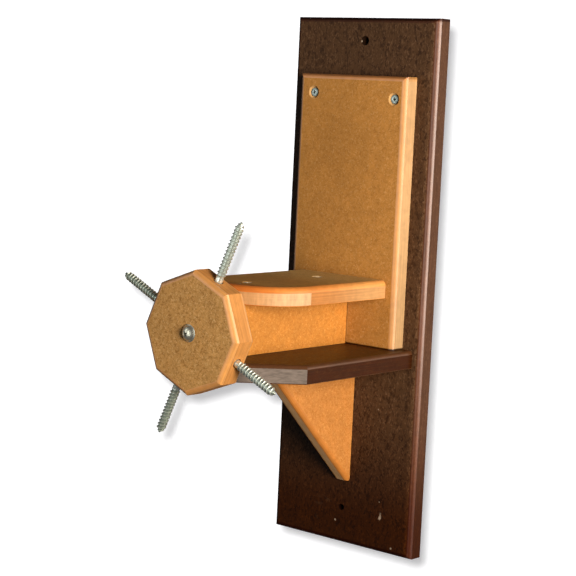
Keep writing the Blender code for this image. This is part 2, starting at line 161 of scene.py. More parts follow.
@dataclass(frozen=True)
class Tint:
    """A tone that comes in along one axis of the frame; the finishes use these to paint shade and
    light onto the boards.
    """

    axis: Axis
    start: float
    end: float
    colour: Colour


@dataclass(frozen=True)
class Fade:
    """A factor that comes in along one axis of the frame."""

    axis: Axis
    start: float
    end: float
    level: float


@dataclass(frozen=True)
class Mark:
    """A small pale scuff: its middle, its reach on each axis and its strength."""

    centre: tuple[float, float, float]
    reach: tuple[float, float, float]
    strength: float


@dataclass(frozen=True)
class BoardFinish:
    """Colours and roughness of one kind of composite board."""

    name: str
    face: Colour
    fleck_dark: Colour
    fleck_light: Colour
    round_edge: Colour
    side: Colour
    sawn: Colour
    bore: Colour
    fleck: float
    face_rough: float
    round_rough: float
    side_rough: float
    sawn_rough: float
    streak: float
    gloss: float
    seed: float
    ribs: float = 1.0
    coat_rough: float = 0.42
    blotch: float = 0.0
    fibre: tuple[float, float, float] = (1.0, 1.0, 1.0)
    # painted shade and light, laid on along the frame's axes
    tints: tuple[Tint, ...] = ()
    polish: tuple[Fade, ...] = ()


@dataclass(frozen=True)
class MetalFinish:
    """Colours and roughness of one kind of plated or bare steel."""

    name: str
    bright: Colour
    dull: Colour
    # painted shade in hollows, and the colour of smudges
    shade_and_smudge: Colour
    rough: float
    metallic: float
    seed: float


TAN = BoardFinish(
    "tan_board", face=srgb(196, 138, 70), fleck_dark=srgb(172, 116, 54),
    fleck_light=srgb(216, 166, 104), round_edge=srgb(202, 142, 80), side=srgb(204, 163, 118),
    sawn=srgb(206, 164, 114), bore=srgb(206, 160, 104), fleck=0.62, face_rough=0.62,
    round_rough=0.46, side_rough=0.52, sawn_rough=0.6, streak=0.35, gloss=0.9, seed=3.0,
    coat_rough=0.5,
    # the first tint darkens the panel towards its left edge; the second is painted shade below
    # the shelf, the third and fourth painted shade on the top round, darkest at the top, and the
    # last a painted shadow line at the foot where the panel meets the seat
    tints=(Tint(Axis.X, 70 * MM, -75 * MM, (0.86, 0.87, 0.88)),
           Tint(Axis.Z, 70 * MM, -25 * MM, (0.82, 0.83, 0.82)),
           Tint(Axis.Z, 219.4 * MM, 220.4 * MM, (1.0, 0.90, 0.78)),
           Tint(Axis.Z, 221.4 * MM, 223.2 * MM, (0.62, 0.55, 0.42)),
           Tint(Axis.Z, -59.2 * MM, -60.6 * MM, (0.10, 0.07, 0.05))))
SHELF = replace(
    TAN, name="shelf_board", face=srgb(196, 147, 81), round_edge=srgb(207, 128, 58),
    side=srgb(186, 124, 69), sawn=srgb(208, 170, 130), gloss=0.2,
    # painted shade on the nose towards its front by the wheel, and a painted sheen, lighter and
    # bluer, on the back of the shelf near the panel
    tints=(Tint(Axis.Y, -186 * MM, -216 * MM, (0.80, 0.64, 0.48)),
           Tint(Axis.Y, -150 * MM, -60 * MM, (1.12, 1.44, 1.95))))
WEB = replace(
    TAN, name="web_board", gloss=0.5, face=srgb(195, 129, 57), fleck_dark=srgb(176, 108, 42),
    fleck_light=srgb(218, 158, 86),
    # painted shadow line along the web's back edge, where it meets the panel
    tints=(Tint(Axis.Y, -39.6 * MM, -39.0 * MM, (0.16, 0.09, 0.05)),))
BRACE = replace(
    WEB, name="brace_board", face=srgb(195, 129, 67), round_edge=srgb(190, 120, 54), gloss=0.2,
    tints=())
WHEEL = BoardFinish(
    "wheel_board", face=srgb(204, 155, 93), fleck_dark=srgb(164, 116, 62),
    fleck_light=srgb(228, 186, 126), round_edge=srgb(206, 144, 76), side=srgb(192, 132, 72),
    sawn=srgb(204, 134, 66), bore=srgb(170, 108, 52), fleck=0.85, face_rough=0.66,
    round_rough=0.42, side_rough=0.46, sawn_rough=0.5, streak=0.5, gloss=1.0, seed=11.0,
    coat_rough=0.45)
BROWN = BoardFinish(
    "brown_board", face=srgb(81, 57, 38), fleck_dark=srgb(40, 22, 12),
    fleck_light=srgb(112, 84, 62), round_edge=srgb(64, 35, 20), side=srgb(53, 33, 22),
    sawn=srgb(118, 98, 84), bore=srgb(30, 17, 9), fleck=0.70, face_rough=0.56,
    round_rough=0.36, side_rough=0.5, sawn_rough=0.62, streak=0.6, gloss=1.0, seed=23.0,
    blotch=0.34, fibre=(0.9, 1.0, 0.5),
    # painted shade: darker towards the foot and on the top round; the last tint is a painted
    # highlight along the right round
    tints=(Tint(Axis.Z, -110 * MM, -262 * MM, (0.39, 0.19, 0.05)),
           Tint(Axis.Z, 281.6 * MM, 284.0 * MM, (0.25, 0.13, 0.10)),
           Tint(Axis.X, 84.0 * MM, 94.2 * MM, (2.4, 2.5, 2.6))),
    polish=(Fade(Axis.X, 93.2 * MM, 90.6 * MM, 0.0), Fade(Axis.Z, 0.0, -200 * MM, 0.2),
            Fade(Axis.Z, 281.0 * MM, 283.5 * MM, 0.1)))
SEAT = replace(
    BROWN, name="seat_board", face=srgb(66, 37, 12), fleck_dark=srgb(42, 21, 7),
    fleck_light=srgb(92, 60, 28), side=srgb(40, 14, 2), sawn=srgb(92, 79, 82), fleck=0.95,
    face_rough=0.42, gloss=0.2, ribs=0.0, blotch=0.22, fibre=(1.0, 0.5, 1.0),
    # painted light: the seat grows lighter towards its right end
    tints=(Tint(Axis.X, -10 * MM, 30 * MM, (1.6, 1.78, 1.45)),), polish=())
SCUFF = srgb(196, 176, 156)
WHITE: Colour = (1.0, 1.0, 1.0)
BLACK: Colour = (0.0, 0.0, 0.0)

ZINC = MetalFinish("zinc_steel", bright=(0.95, 0.99, 0.91), dull=(0.74, 0.80, 0.71),
                   shade_and_smudge=(0.20, 0.24, 0.19), rough=0.28, metallic=0.84, seed=5.0)
SCREW = MetalFinish("screw_steel", bright=(0.56, 0.63, 0.59), dull=(0.38, 0.45, 0.42),
                    shade_and_smudge=(0.03, 0.04, 0.03), rough=0.34, metallic=0.9, seed=9.0)
# painted reflection: the upturned heads of the shelf screws are given a pale cream colour for the
# sheen they catch
SHELF_SCREW_SHEEN = replace(SCREW, name="shelf_screw_painted_sheen", bright=(0.98, 0.90, 0.72),
                      dull=(0.90, 0.80, 0.62), rough=0.5, metallic=0.3)
AXLE = MetalFinish("axle_steel", bright=(0.84, 0.79, 0.64), dull=(0.56, 0.53, 0.43),
                   shade_and_smudge=(0.08, 0.06, 0.04), rough=0.32, metallic=1.0, seed=15.0)


# Node graphs


class Graph:
    """A short way to write node trees."""

    def __init__(self, tree: bpy.types.NodeTree) -> None:
        """Hold the tree that nodes are added to."""
        self.tree = tree

    def add(self, kind: str, **settings: object) -> bpy.types.Node:
        """Add a node.

        Args:
            kind (str): the node's Blender type.
            **settings (object): attributes of the node.

        Returns:
            bpy.types.Node: the new node.
        """
        node = self.tree.nodes.new(kind)
        for key, value in settings.items():
            setattr(node, key, value)
        return node

    def feed(self, socket: bpy.types.NodeSocket, value: object) -> None:
        """Link a socket to another, or set its own value.

        Args:
            socket (bpy.types.NodeSocket): the input.
            value (object): an output socket, a number or a tuple.
        """
        if isinstance(value, bpy.types.NodeSocket):
            self.tree.links.new(value, socket)
        elif socket.type == "RGBA" and len(value) == 3:
            socket.default_value = (*value, 1.0)
        else:
            socket.default_value = value

    def math(self, operation: str, first: object, second: object = 0.0) -> bpy.types.NodeSocket:
        """Add a Math node.

        Args:
            operation (str): the node's operation.
            first (object): first value or socket.
            second (object): second value or socket.

        Returns:
            bpy.types.NodeSocket: the result.
        """
        node = self.add("ShaderNodeMath", operation=operation)
        self.feed(node.inputs[0], first)
        self.feed(node.inputs[1], second)
        return node.outputs[0]

    def mix(self, factor: object, first: object, second: object,
            blend: str = "MIX") -> bpy.types.NodeSocket:
        """Mix two colours.

        Args:
            factor (object): share of the second colour.
            first (object): first colour.
            second (object): second colour.
            blend (str): blend type.

        Returns:
            bpy.types.NodeSocket: the mixed colour.
        """
        node = self.add("ShaderNodeMix", data_type="RGBA", blend_type=blend)
        self.feed(node.inputs["Factor"], factor)
        self.feed(node.inputs[6], first)
        self.feed(node.inputs[7], second)
        return node.outputs[2]

    def blend_value(self, factor: object, first: object, second: object) -> bpy.types.NodeSocket:
        """Mix two numbers.

        Args:
            factor (object): share of the second number.
            first (object): first number.
            second (object): second number.

        Returns:
            bpy.types.NodeSocket: the mixed number.
        """
        node = self.add("ShaderNodeMix", data_type="FLOAT")
        self.feed(node.inputs["Factor"], factor)
        self.feed(node.inputs[2], first)
        self.feed(node.inputs[3], second)
        return node.outputs[0]

    def span(self, value: object, low: float, high: float, start: float = 0.0,
             end: float = 1.0) -> bpy.types.NodeSocket:
        """Stretch one range onto another, smoothly and clamped.

        Args:
            value (object): the number or socket.
            low (float): value that gives start.
            high (float): value that gives end.
            start (float): result at low.
            end (float): result at high.

        Returns:
            bpy.types.NodeSocket: the stretched number.
        """
        node = self.add("ShaderNodeMapRange", interpolation_type="SMOOTHSTEP", clamp=True)
        for socket, number in zip(node.inputs, (value, low, high, start, end)):
            self.feed(socket, number)
        return node.outputs[0]

    def noise(self, vector: object, scale: float, detail: float = 2.0, rough: float = 0.5,
              warp: float = 0.0) -> bpy.types.NodeSocket:
        """Add a noise texture.

        Args:
            vector (object): where it is read.
            scale (float): how fine it is.
            detail (float): octaves.
            rough (float): weight of the fine octaves.
            warp (float): distortion.

        Returns:
            bpy.types.NodeSocket: a number about 0.5.
        """
        node = self.add("ShaderNodeTexNoise")
        self.feed(node.inputs["Vector"], vector)
        self.feed(node.inputs["Scale"], scale)
        self.feed(node.inputs["Detail"], detail)
        self.feed(node.inputs["Roughness"], rough)
        self.feed(node.inputs["Distortion"], warp)
        return node.outputs[0]

    def stretch(self, vector: object, scale: Sequence[float],
                shift: Sequence[float] = (0, 0, 0)) -> bpy.types.NodeSocket:
        """Scale and shift a vector.

        Args:
            vector (object): the vector socket.
            scale (Sequence[float]): factor on each axis.
            shift (Sequence[float]): what is added on each axis.

        Returns:
            bpy.types.NodeSocket: the moved vector.
        """
        node = self.add("ShaderNodeVectorMath", operation="MULTIPLY_ADD")
        self.feed(node.inputs[0], vector)
        node.inputs[1].default_value = tuple(scale)
        node.inputs[2].default_value = tuple(shift)
        return node.outputs[0]

    def planar(self, parts: bpy.types.Node, along: float, across: float,
               seed: object) -> bpy.types.NodeSocket:
        """Scale the two directions of a grain map and add a seed as the third.

        Args:
            parts (bpy.types.Node): the grain map's Separate XYZ.
            along (float): waves per metre along the grain.
            across (float): waves per metre across it.
            seed (object): the third coordinate.

        Returns:
            bpy.types.NodeSocket: the vector.
        """
        vector = self.add("ShaderNodeCombineXYZ")
        self.feed(vector.inputs[0], self.math("MULTIPLY", parts.outputs[0], along))
        self.feed(vector.inputs[1], self.math("MULTIPLY", parts.outputs[1], across))
        self.feed(vector.inputs[2], seed)
        return vector.outputs[0]

    def weigh(self, first: object, share: float, second: object,
              rest: float) -> bpy.types.NodeSocket:
        """Add two numbers, each by its own share."""
        return self.math("ADD", self.math("MULTIPLY", first, share),
                         self.math("MULTIPLY", second, rest))

    def bump(self, height: object, distance: float, strength: float,
             normal: object = None) -> bpy.types.NodeSocket:
        """Turn a height into a normal.

        Args:
            height (object): the height socket.
            distance (float): metres per unit of height.
            strength (float): 0 to 1.
            normal (object): a normal to build on.

        Returns:
            bpy.types.NodeSocket: the bumped normal.
        """
        node = self.add("ShaderNodeBump")
        node.inputs["Distance"].default_value = distance
        node.inputs["Strength"].default_value = strength
        self.feed(node.inputs["Height"], height)
        if normal is not None:
            self.feed(node.inputs["Normal"], normal)
        return node.outputs[0]

    def use(self, group: bpy.types.NodeTree, **values: object) -> bpy.types.Node:
        """Add a node group.

        Args:
            group (bpy.types.NodeTree): the group.
            **values (object): input values or sockets by name.

        Returns:
            bpy.types.Node: the group node.
        """
        node = self.add("ShaderNodeGroup", node_tree=group)
        for key, value in values.items():
            self.feed(node.inputs[key], value)
        return node


def new_group(name: str, inputs: Sequence[tuple[str, str]],
              outputs: Sequence[tuple[str, str]]) -> tuple:
    """Start a shader node group.

    Args:
        name (str): the group's name.
        inputs (Sequence[tuple[str, str]]): name and kind of each input.
        outputs (Sequence[tuple[str, str]]): name and kind of each output.

    Returns:
        tuple: the group, its Graph, its input node and its output node.
    """
    tree = bpy.data.node_groups.new(name, "ShaderNodeTree")
    for label, kind in inputs:
        tree.interface.new_socket(label, in_out="INPUT", socket_type=kind)
    for label, kind in outputs:
        tree.interface.new_socket(label, in_out="OUTPUT", socket_type=kind)
    graph = Graph(tree)
    return tree, graph, graph.add("NodeGroupInput"), graph.add("NodeGroupOutput")


FLOAT = "NodeSocketFloat"
VECTOR = "NodeSocketVector"


@dataclass(frozen=True)
class FibreScale:
    """Waves per metre of the fibre fleck's layers."""

    broad: float = 9.0
    patch: float = 95.0
    coarse: float = 330.0
    pale: float = 420.0
    fine: float = 980.0


@dataclass(frozen=True)
class CutScale:
    """Waves per metre of cut lines, along and across the grain."""

    broad: tuple[float, float] = (9.0, 620.0)
    fine: tuple[float, float] = (26.0, 2100.0)
    ribs: tuple[float, float] = (300.0, 50.0)
    blots: tuple[float, float] = (95.0, 420.0)


@dataclass(frozen=True)
class WearScale:
    """Waves per metre of handling marks."""

    smudge: float = 24.0
    patch: float = 60.0
    scratch: tuple[float, float, float] = (40.0, 700.0, 55.0)


def fleck_group() -> bpy.types.NodeTree:
    """Make the fibre fleck of pressed board.

    Returns:
        bpy.types.NodeTree: group with outputs Dark, Light, Cloud and Height.
    """
    tree, g, source, sink = new_group(
        "fibre_fleck", [("Vector", VECTOR)],
        [("Dark", FLOAT), ("Light", FLOAT), ("Cloud", FLOAT), ("Height", FLOAT)])
    place = source.outputs["Vector"]
    scale = FibreScale()
    broad = g.noise(place, scale.broad, detail=3.0)
    patch = g.noise(place, scale.patch, rough=0.6, warp=0.5)
    coarse = g.noise(place, scale.coarse, detail=3.0, rough=0.62, warp=0.6)
    fine = g.noise(place, scale.fine, rough=0.55)
    moved = g.stretch(place, (1, 1, 1), (3.1, 7.7, 1.3))
    other = g.noise(moved, scale.pale, detail=3.0, rough=0.6, warp=0.8)
    dark = g.weigh(coarse, 0.7, fine, 0.3)
    pale = g.weigh(other, 0.65, fine, 0.35)
    g.feed(sink.inputs["Dark"], g.span(dark, 0.52, 0.39))
    g.feed(sink.inputs["Light"], g.span(pale, 0.51, 0.64))
    g.feed(sink.inputs["Cloud"], g.weigh(broad, 0.55, patch, 0.45))
    g.feed(sink.inputs["Height"], dark)
    return tree


def streak_group() -> bpy.types.NodeTree:
    """Make the lines, ribs and blots that a router or a saw leaves.

    Returns:
        bpy.types.NodeTree: group with outputs Streak, Chatter and Mottle, read on the grain map.
    """
    tree, g, source, sink = new_group(
        "cut_lines", [("Grain", VECTOR), ("Seed", FLOAT)],
        [("Streak", FLOAT), ("Chatter", FLOAT), ("Mottle", FLOAT)])
    seed = source.outputs["Seed"]
    parts = g.add("ShaderNodeSeparateXYZ")
    g.feed(parts.inputs[0], source.outputs["Grain"])
    scale = CutScale()
    broad = g.noise(g.planar(parts, *scale.broad, seed), 1.0, rough=0.55)
    fine = g.noise(g.planar(parts, *scale.fine, seed), 1.0, detail=1.0)
    ribs = g.noise(g.planar(parts, *scale.ribs, seed), 1.0, rough=0.6)
    blots = g.noise(g.planar(parts, *scale.blots, seed), 1.0, detail=3.0, rough=0.6, warp=0.6)
    g.feed(sink.inputs["Streak"], g.span(g.weigh(broad, 0.65, fine, 0.35), 0.34, 0.66))
    g.feed(sink.inputs["Chatter"], g.weigh(g.span(ribs, 0.36, 0.64), 0.7,
                                           g.span(broad, 0.34, 0.66), 0.3))
    g.feed(sink.inputs["Mottle"], g.span(blots, 0.3, 0.7))
    return tree


def wear_group() -> bpy.types.NodeTree:
    """Make sparse smudges and fine scratches.

    Returns:
        bpy.types.NodeTree: group with outputs Smudge and Scratch.
    """
    tree, g, source, sink = new_group(
        "handling_wear", [("Vector", VECTOR), ("Seed", FLOAT)],
        [("Smudge", FLOAT), ("Scratch", FLOAT)])
    shift = g.add("ShaderNodeVectorMath", operation="ADD")
    g.feed(shift.inputs[0], source.outputs["Vector"])
    g.feed(shift.inputs[1], source.outputs["Seed"])
    place = shift.outputs[0]
    scale = WearScale()
    smudge = g.noise(place, scale.smudge, detail=4.0, rough=0.6, warp=0.5)
    g.feed(sink.inputs["Smudge"], g.span(smudge, 0.52, 0.78))
    lines = g.noise(g.stretch(place, scale.scratch), 1.0, detail=1.0, warp=1.2)
    kept = g.span(g.noise(place, scale.patch, detail=1.0), 0.55, 0.7)
    g.feed(sink.inputs["Scratch"], g.math("MULTIPLY", g.span(lines, 0.66, 0.74), kept))
    return tree


@dataclass(frozen=True)
class Effects:
    """Shader node groups that more than one finish uses."""

    fleck: bpy.types.NodeTree = field(default_factory=fleck_group)
    streak: bpy.types.NodeTree = field(default_factory=streak_group)
    wear: bpy.types.NodeTree = field(default_factory=wear_group)


class BoardSkin:
    """The node graph of one composite board's finish."""

    swing: float = 0.34
    pale_share: float = 0.4
    smudge_share: float = 0.10
    scratch_share: float = 0.15
    torn_scale: float = 620.0
    torn_reach: float = 1.5
    scuff_rim: float = 1.75
    scuff_core: float = 1.15
    fibre_relief: float = 0.25 * MM
    cut_relief: float = 0.05 * MM

    def __init__(self, effects: Effects, g: Graph, finish: BoardFinish) -> None:
        """Add the maps that the whole finish reads.

        Args:
            effects (Effects): the shared groups.
            g (Graph): the material's graph.
            finish (BoardFinish): the board's colours.
        """
        self.g = g
        self.finish = finish
        self.place = g.add("ShaderNodeTexCoord").outputs["Object"]
        self.zone = g.add("ShaderNodeAttribute", attribute_name="zone").outputs["Fac"]
        grain = g.add("ShaderNodeUVMap", uv_map="grain").outputs[0]
        self.fleck = g.use(effects.fleck, Vector=g.stretch(self.place, finish.fibre))
        self.lines = g.use(effects.streak, Grain=grain, Seed=finish.seed)
        self.wear = g.use(effects.wear, Vector=self.place, Seed=finish.seed)
        self.parts = g.add("ShaderNodeSeparateXYZ")
        g.feed(self.parts.inputs[0], self.place)

    def near(self, kind: Zone) -> bpy.types.NodeSocket:
        """Return 1 on one kind of surface and 0 on the others."""
        return self.g.math("COMPARE", self.zone, float(kind.value))

    def flecked(self, colour: object, dark: float, light: float) -> bpy.types.NodeSocket:
        """Lay dark fibres and then pale ones over a colour.

        Args:
            colour (object): what they lie on.
            dark (float): share of the dark ones.
            light (float): share of the pale ones.

        Returns:
            bpy.types.NodeSocket: the flecked colour.
        """
        g, finish = self.g, self.finish
        dark_mask = g.math("MULTIPLY", self.fleck.outputs["Dark"], dark)
        light_mask = g.math("MULTIPLY", self.fleck.outputs["Light"], light)
        return g.mix(light_mask, g.mix(dark_mask, colour, finish.fleck_dark), finish.fleck_light)

    def streaked(self, colour: Colour, lines: bpy.types.NodeSocket) -> bpy.types.NodeSocket:
        """Darken and lighten a colour along cut lines.

        Args:
            colour (Colour): the middle colour.
            lines (bpy.types.NodeSocket): 0 to 1 along the lines.

        Returns:
            bpy.types.NodeSocket: the streaked colour.
        """
        swing = self.swing * self.finish.streak
        dark = tuple(c * (1 - swing) for c in colour)
        light = tuple(min(1.0, c * (1 + swing)) for c in colour)
        return self.g.mix(lines, dark, light)

    def scuff(self, mark: Mark) -> bpy.types.NodeSocket:
        """Make the mask of one small scuff.

        Args:
            mark (Mark): where it is and how far it reaches.

        Returns:
            bpy.types.NodeSocket: the mask.
        """
        g = self.g
        away = g.add("ShaderNodeVectorMath", operation="LENGTH")
        shift = [-c / reach for c, reach in zip(mark.centre, mark.reach)]
        g.feed(away.inputs[0], g.stretch(self.place, [1 / reach for reach in mark.reach], shift))
        fray = g.noise(self.place, self.torn_scale, detail=3.0, rough=0.7)
        torn = g.math("MULTIPLY", fray, self.torn_reach)
        reach = g.math("ADD", away.outputs["Value"], torn)
        return g.span(reach, self.scuff_rim, self.scuff_core, 0.0, mark.strength)

    def colour(self, marks: Sequence[Mark]) -> bpy.types.NodeSocket:
        """Colour each kind of surface, and add the painted shade and light of the tints, wear and
        scuffs.

        Args:
            marks (Sequence[Mark]): the scuffs.

        Returns:
            bpy.types.NodeSocket: the board's colour.
        """
        g, finish = self.g, self.finish
        streak = self.lines.outputs["Streak"]
        cuts = g.blend_value(finish.ribs, self.lines.outputs["Mottle"],
                             self.lines.outputs["Chatter"])
        blotch = (finish.blotch, finish.blotch * self.pale_share)
        layers = ((Zone.ROUND, self.flecked(self.streaked(finish.round_edge, streak), *blotch)),
                  (Zone.SIDE, self.flecked(self.streaked(finish.side, streak), *blotch)),
                  (Zone.SAWN, self.streaked(finish.sawn, cuts)),
                  (Zone.BORE, finish.bore))
        colour = self.flecked(finish.face, finish.fleck, finish.fleck)
        for zone, layer in layers:
            colour = g.mix(self.near(zone), colour, layer)
        # painted shade and light: each tint darkens or lightens the colour along one axis
        for tint in finish.tints:
            level = g.span(self.parts.outputs[tint.axis.value], tint.start, tint.end)
            colour = g.mix(1.0, colour, g.mix(level, WHITE, tint.colour), "MULTIPLY")
        for effect, share, tone in (("Smudge", self.smudge_share, finish.fleck_dark),
                                    ("Scratch", self.scratch_share, finish.fleck_light)):
            colour = g.mix(g.math("MULTIPLY", self.wear.outputs[effect], share), colour, tone)
        for mark in marks:
            colour = g.mix(self.scuff(mark), colour, SCUFF)
        cloud = g.span(self.fleck.outputs["Cloud"], 0.34, 0.66, 0.88, 1.10)
        bright = g.add("ShaderNodeCombineXYZ")
        for socket in bright.inputs:
            g.feed(socket, cloud)
        return g.mix(1.0, colour, bright.outputs[0], "MULTIPLY")

    def roughness(self) -> bpy.types.NodeSocket:
        """Give each kind of surface its roughness.

        Returns:
            bpy.types.NodeSocket: the board's roughness.
        """
        g, finish = self.g, self.finish
        rough = finish.face_rough
        for zone, level in ((Zone.ROUND, finish.round_rough), (Zone.SIDE, finish.side_rough),
                            (Zone.SAWN, finish.sawn_rough)):
            rough = g.blend_value(self.near(zone), rough, level)
        return g.math("ADD", rough, g.span(self.fleck.outputs["Height"], 0.3, 0.7, -0.06, 0.06))

    def coat(self) -> bpy.types.NodeSocket:
        """Polish the routed rounds.

        Returns:
            bpy.types.NodeSocket: the coat's weight.
        """
        g, finish = self.g, self.finish
        coat = g.math("MULTIPLY", self.near(Zone.ROUND), finish.gloss)
        for fade in finish.polish:
            level = g.span(self.parts.outputs[fade.axis.value], fade.start, fade.end, 1.0,
                           fade.level)
            coat = g.math("MULTIPLY", coat, level)
        return coat

    def normal(self) -> bpy.types.NodeSocket:
        """Raise the fibres on the faces and the lines on the cut edges.

        Returns:
            bpy.types.NodeSocket: the normal.
        """
        g = self.g
        fibres = g.math("MULTIPLY", self.fleck.outputs["Height"], self.near(Zone.FACE))
        cut = g.math("ADD", self.near(Zone.ROUND),
                     g.math("ADD", self.near(Zone.SIDE), self.near(Zone.SAWN)))
        lines = g.math("ADD", self.lines.outputs["Streak"],
                       g.math("MULTIPLY", self.lines.outputs["Chatter"], 0.3))
        return g.bump(g.math("MULTIPLY", lines, cut), self.cut_relief, 0.35,
                      g.bump(fibres, self.fibre_relief, 0.5))


class Workshop:
    """Makes each material once."""

    board_specular: float = 0.06
    coat_ior: float = 1.8
    patch_scale: float = 520.0
    grit_scale: float = 1500.0
    grit_relief: float = 0.04 * MM
    scratch_relief: float = 0.03 * MM
    shade_share: float = 0.92
    smudge_share: float = 0.3

    def __init__(self) -> None:
        """Build the shared node groups."""
        self.effects = Effects()
        self.made: dict[str, bpy.types.Material] = {}

    def start(self, name: str) -> tuple[bpy.types.Material, Graph, bpy.types.Node]:
        """Start a material with an empty Principled shader.

        Args:
            name (str): the material's name.

        Returns:
            tuple: the material, its Graph and its Principled node.
        """
        material = bpy.data.materials.new(name)
        material.use_nodes = True
        self.made[name] = material
        return material, Graph(material.node_tree), material.node_tree.nodes["Principled BSDF"]

    def board(self, finish: BoardFinish, marks: Sequence[Mark] = ()) -> bpy.types.Material:
        """Make or find the material of a composite board.

        Args:
            finish (BoardFinish): the board's colours.
            marks (Sequence[Mark]): pale scuffs.

        Returns:
            bpy.types.Material: the material.
        """
        name = finish.name + ("_marked" if marks else "")
        if name in self.made:
            return self.made[name]
        material, g, shader = self.start(name)
        skin = BoardSkin(self.effects, g, finish)
        g.feed(shader.inputs["Base Color"], skin.colour(marks))
        g.feed(shader.inputs["Roughness"], skin.roughness())
        g.feed(shader.inputs["Coat Weight"], skin.coat())
        g.feed(shader.inputs["Normal"], skin.normal())
        shader.inputs["Specular IOR Level"].default_value = self.board_specular
        shader.inputs["Coat Roughness"].default_value = finish.coat_rough
        shader.inputs["Coat IOR"].default_value = self.coat_ior
        return material

    def metal(self, finish: MetalFinish) -> bpy.types.Material:
        """Make or find a metal, with painted shade where its depth attribute says and smudges of
        wear.

        Args:
            finish (MetalFinish): its colours.

        Returns:
            bpy.types.Material: the material.
        """
        if finish.name in self.made:
            return self.made[finish.name]
        material, g, shader = self.start(finish.name)
        place = g.add("ShaderNodeTexCoord").outputs["Object"]
        depth = g.add("ShaderNodeAttribute", attribute_name="depth").outputs["Fac"]
        wear = g.use(self.effects.wear, Vector=place, Seed=finish.seed)
        patches = g.noise(place, self.patch_scale, detail=3.0, rough=0.6, warp=0.4)
        patch = g.span(patches, 0.36, 0.66)
        colour = g.mix(patch, finish.bright, finish.dull)
        # the depth attribute carries painted shade: recesses, thread roots and head rims darken
        # with the same colour as the smudges
        for mask, share in ((depth, self.shade_share),
                            (wear.outputs["Smudge"], self.smudge_share)):
            colour = g.mix(g.math("MULTIPLY", mask, share), colour, finish.shade_and_smudge)
        g.feed(shader.inputs["Base Color"], colour)
        shader.inputs["Metallic"].default_value = finish.metallic
        rough = g.span(patch, 0.0, 1.0, finish.rough - 0.05, finish.rough + 0.12)
        g.feed(shader.inputs["Roughness"], g.math("ADD", rough, g.math("MULTIPLY", depth, 0.2)))
        grit = g.noise(place, self.grit_scale, detail=3.0, rough=0.6)
        gritty = g.bump(grit, self.grit_relief, 0.4)
        scratched = g.bump(wear.outputs["Scratch"], self.scratch_relief, 0.3, gritty)
        g.feed(shader.inputs["Normal"], scratched)
        return material


# Shapes


def plate(outline: Sequence[Point], thickness: float, base: float = 0.0) -> bmesh.types.BMesh:
    """Extrude a flat outline along +Z.

    Args:
        outline (Sequence[Point]): its corners in order.
        thickness (float): how far it is extruded.
        base (float): height of the lower face.

    Returns:
        bmesh.types.BMesh: the plate.
    """
    bm = bmesh.new()
    face = bm.faces.new([bm.verts.new((x, y, base)) for x, y in outline])
    grown = bmesh.ops.extrude_face_region(bm, geom=[face])
    top = [v for v in grown["geom"] if isinstance(v, bmesh.types.BMVert)]
    bmesh.ops.translate(bm, verts=top, vec=(0, 0, thickness))
    bmesh.ops.recalc_face_normals(bm, faces=bm.faces[:])
    return bm


def turned(profile: Sequence[Point], sides: int, closed: bool = False) -> bmesh.types.BMesh:
    """Spin a profile of (radius, height) points once round the local Z axis.

    Args:
        profile (Sequence[Point]): radii and heights.
        sides (int): steps in one turn.
        closed (bool): whether the last point joins the first.

    Returns:
        bmesh.types.BMesh: the turned solid.
    """
    bm = bmesh.new()
    half = pi / sides
    points = [bm.verts.new((r * cos(half), r * sin(half), z)) for r, z in profile]
    pairs = list(zip(points, points[1:]))
    if closed:
        pairs.append((points[-1], points[0]))
    lines = [bm.edges.new(pair) for pair in pairs]
    bmesh.ops.spin(bm, geom=points + lines, cent=(0, 0, 0), axis=(0, 0, 1), dvec=(0, 0, 0),
                   angle=2 * pi, steps=sides, use_merge=True)
    bmesh.ops.remove_doubles(bm, verts=bm.verts[:], dist=MERGE)
    bmesh.ops.recalc_face_normals(bm, faces=bm.faces[:])
    return bm


def mesh_object(name: str, bm: bmesh.types.BMesh) -> bpy.types.Object:
    """Turn a bmesh into an object in the scene.

    Args:
        name (str): the object's name.
        bm (bmesh.types.BMesh): freed afterwards.

    Returns:
        bpy.types.Object: the object.
    """
    mesh = bpy.data.meshes.new(name)
    bm.to_mesh(mesh)
    bm.free()
    item = bpy.data.objects.new(name, mesh)
    bpy.context.scene.collection.objects.link(item)
    return item


def carve(item: bpy.types.Object, cutters: Sequence[bmesh.types.BMesh]) -> bmesh.types.BMesh:
    """Take cutters away from an object, and give their faces material index 1.

    Args:
        item (bpy.types.Object): the solid, which is removed.
        cutters (Sequence[bmesh.types.BMesh]): closed solids in the same axes.

    Returns:
        bmesh.types.BMesh: what is left.
    """
    blank = bpy.data.materials.get("blank") or bpy.data.materials.new("blank")
    raw = bpy.data.materials.get("raw") or bpy.data.materials.new("raw")
    for material in (blank, raw):
        item.data.materials.append(material)
    tools = []
    for number, bm in enumerate(cutters):
        for face in bm.faces:
            face.material_index = 1
        tool = mesh_object(f"{item.name}_tool_{number}", bm)
        for material in (blank, raw):
            tool.data.materials.append(material)
        modifier = item.modifiers.new(tool.name, "BOOLEAN")
        modifier.operation = "DIFFERENCE"
        modifier.solver = "EXACT"
        modifier.material_mode = "INDEX"
        modifier.object = tool
        tools.append(tool)
    graph = bpy.context.evaluated_depsgraph_get()
    left = bmesh.new()
    left.from_mesh(item.evaluated_get(graph).data)
    for old in tools + [item]:
        mesh = old.data
        bpy.data.objects.remove(old)
        bpy.data.meshes.remove(mesh)
    return left


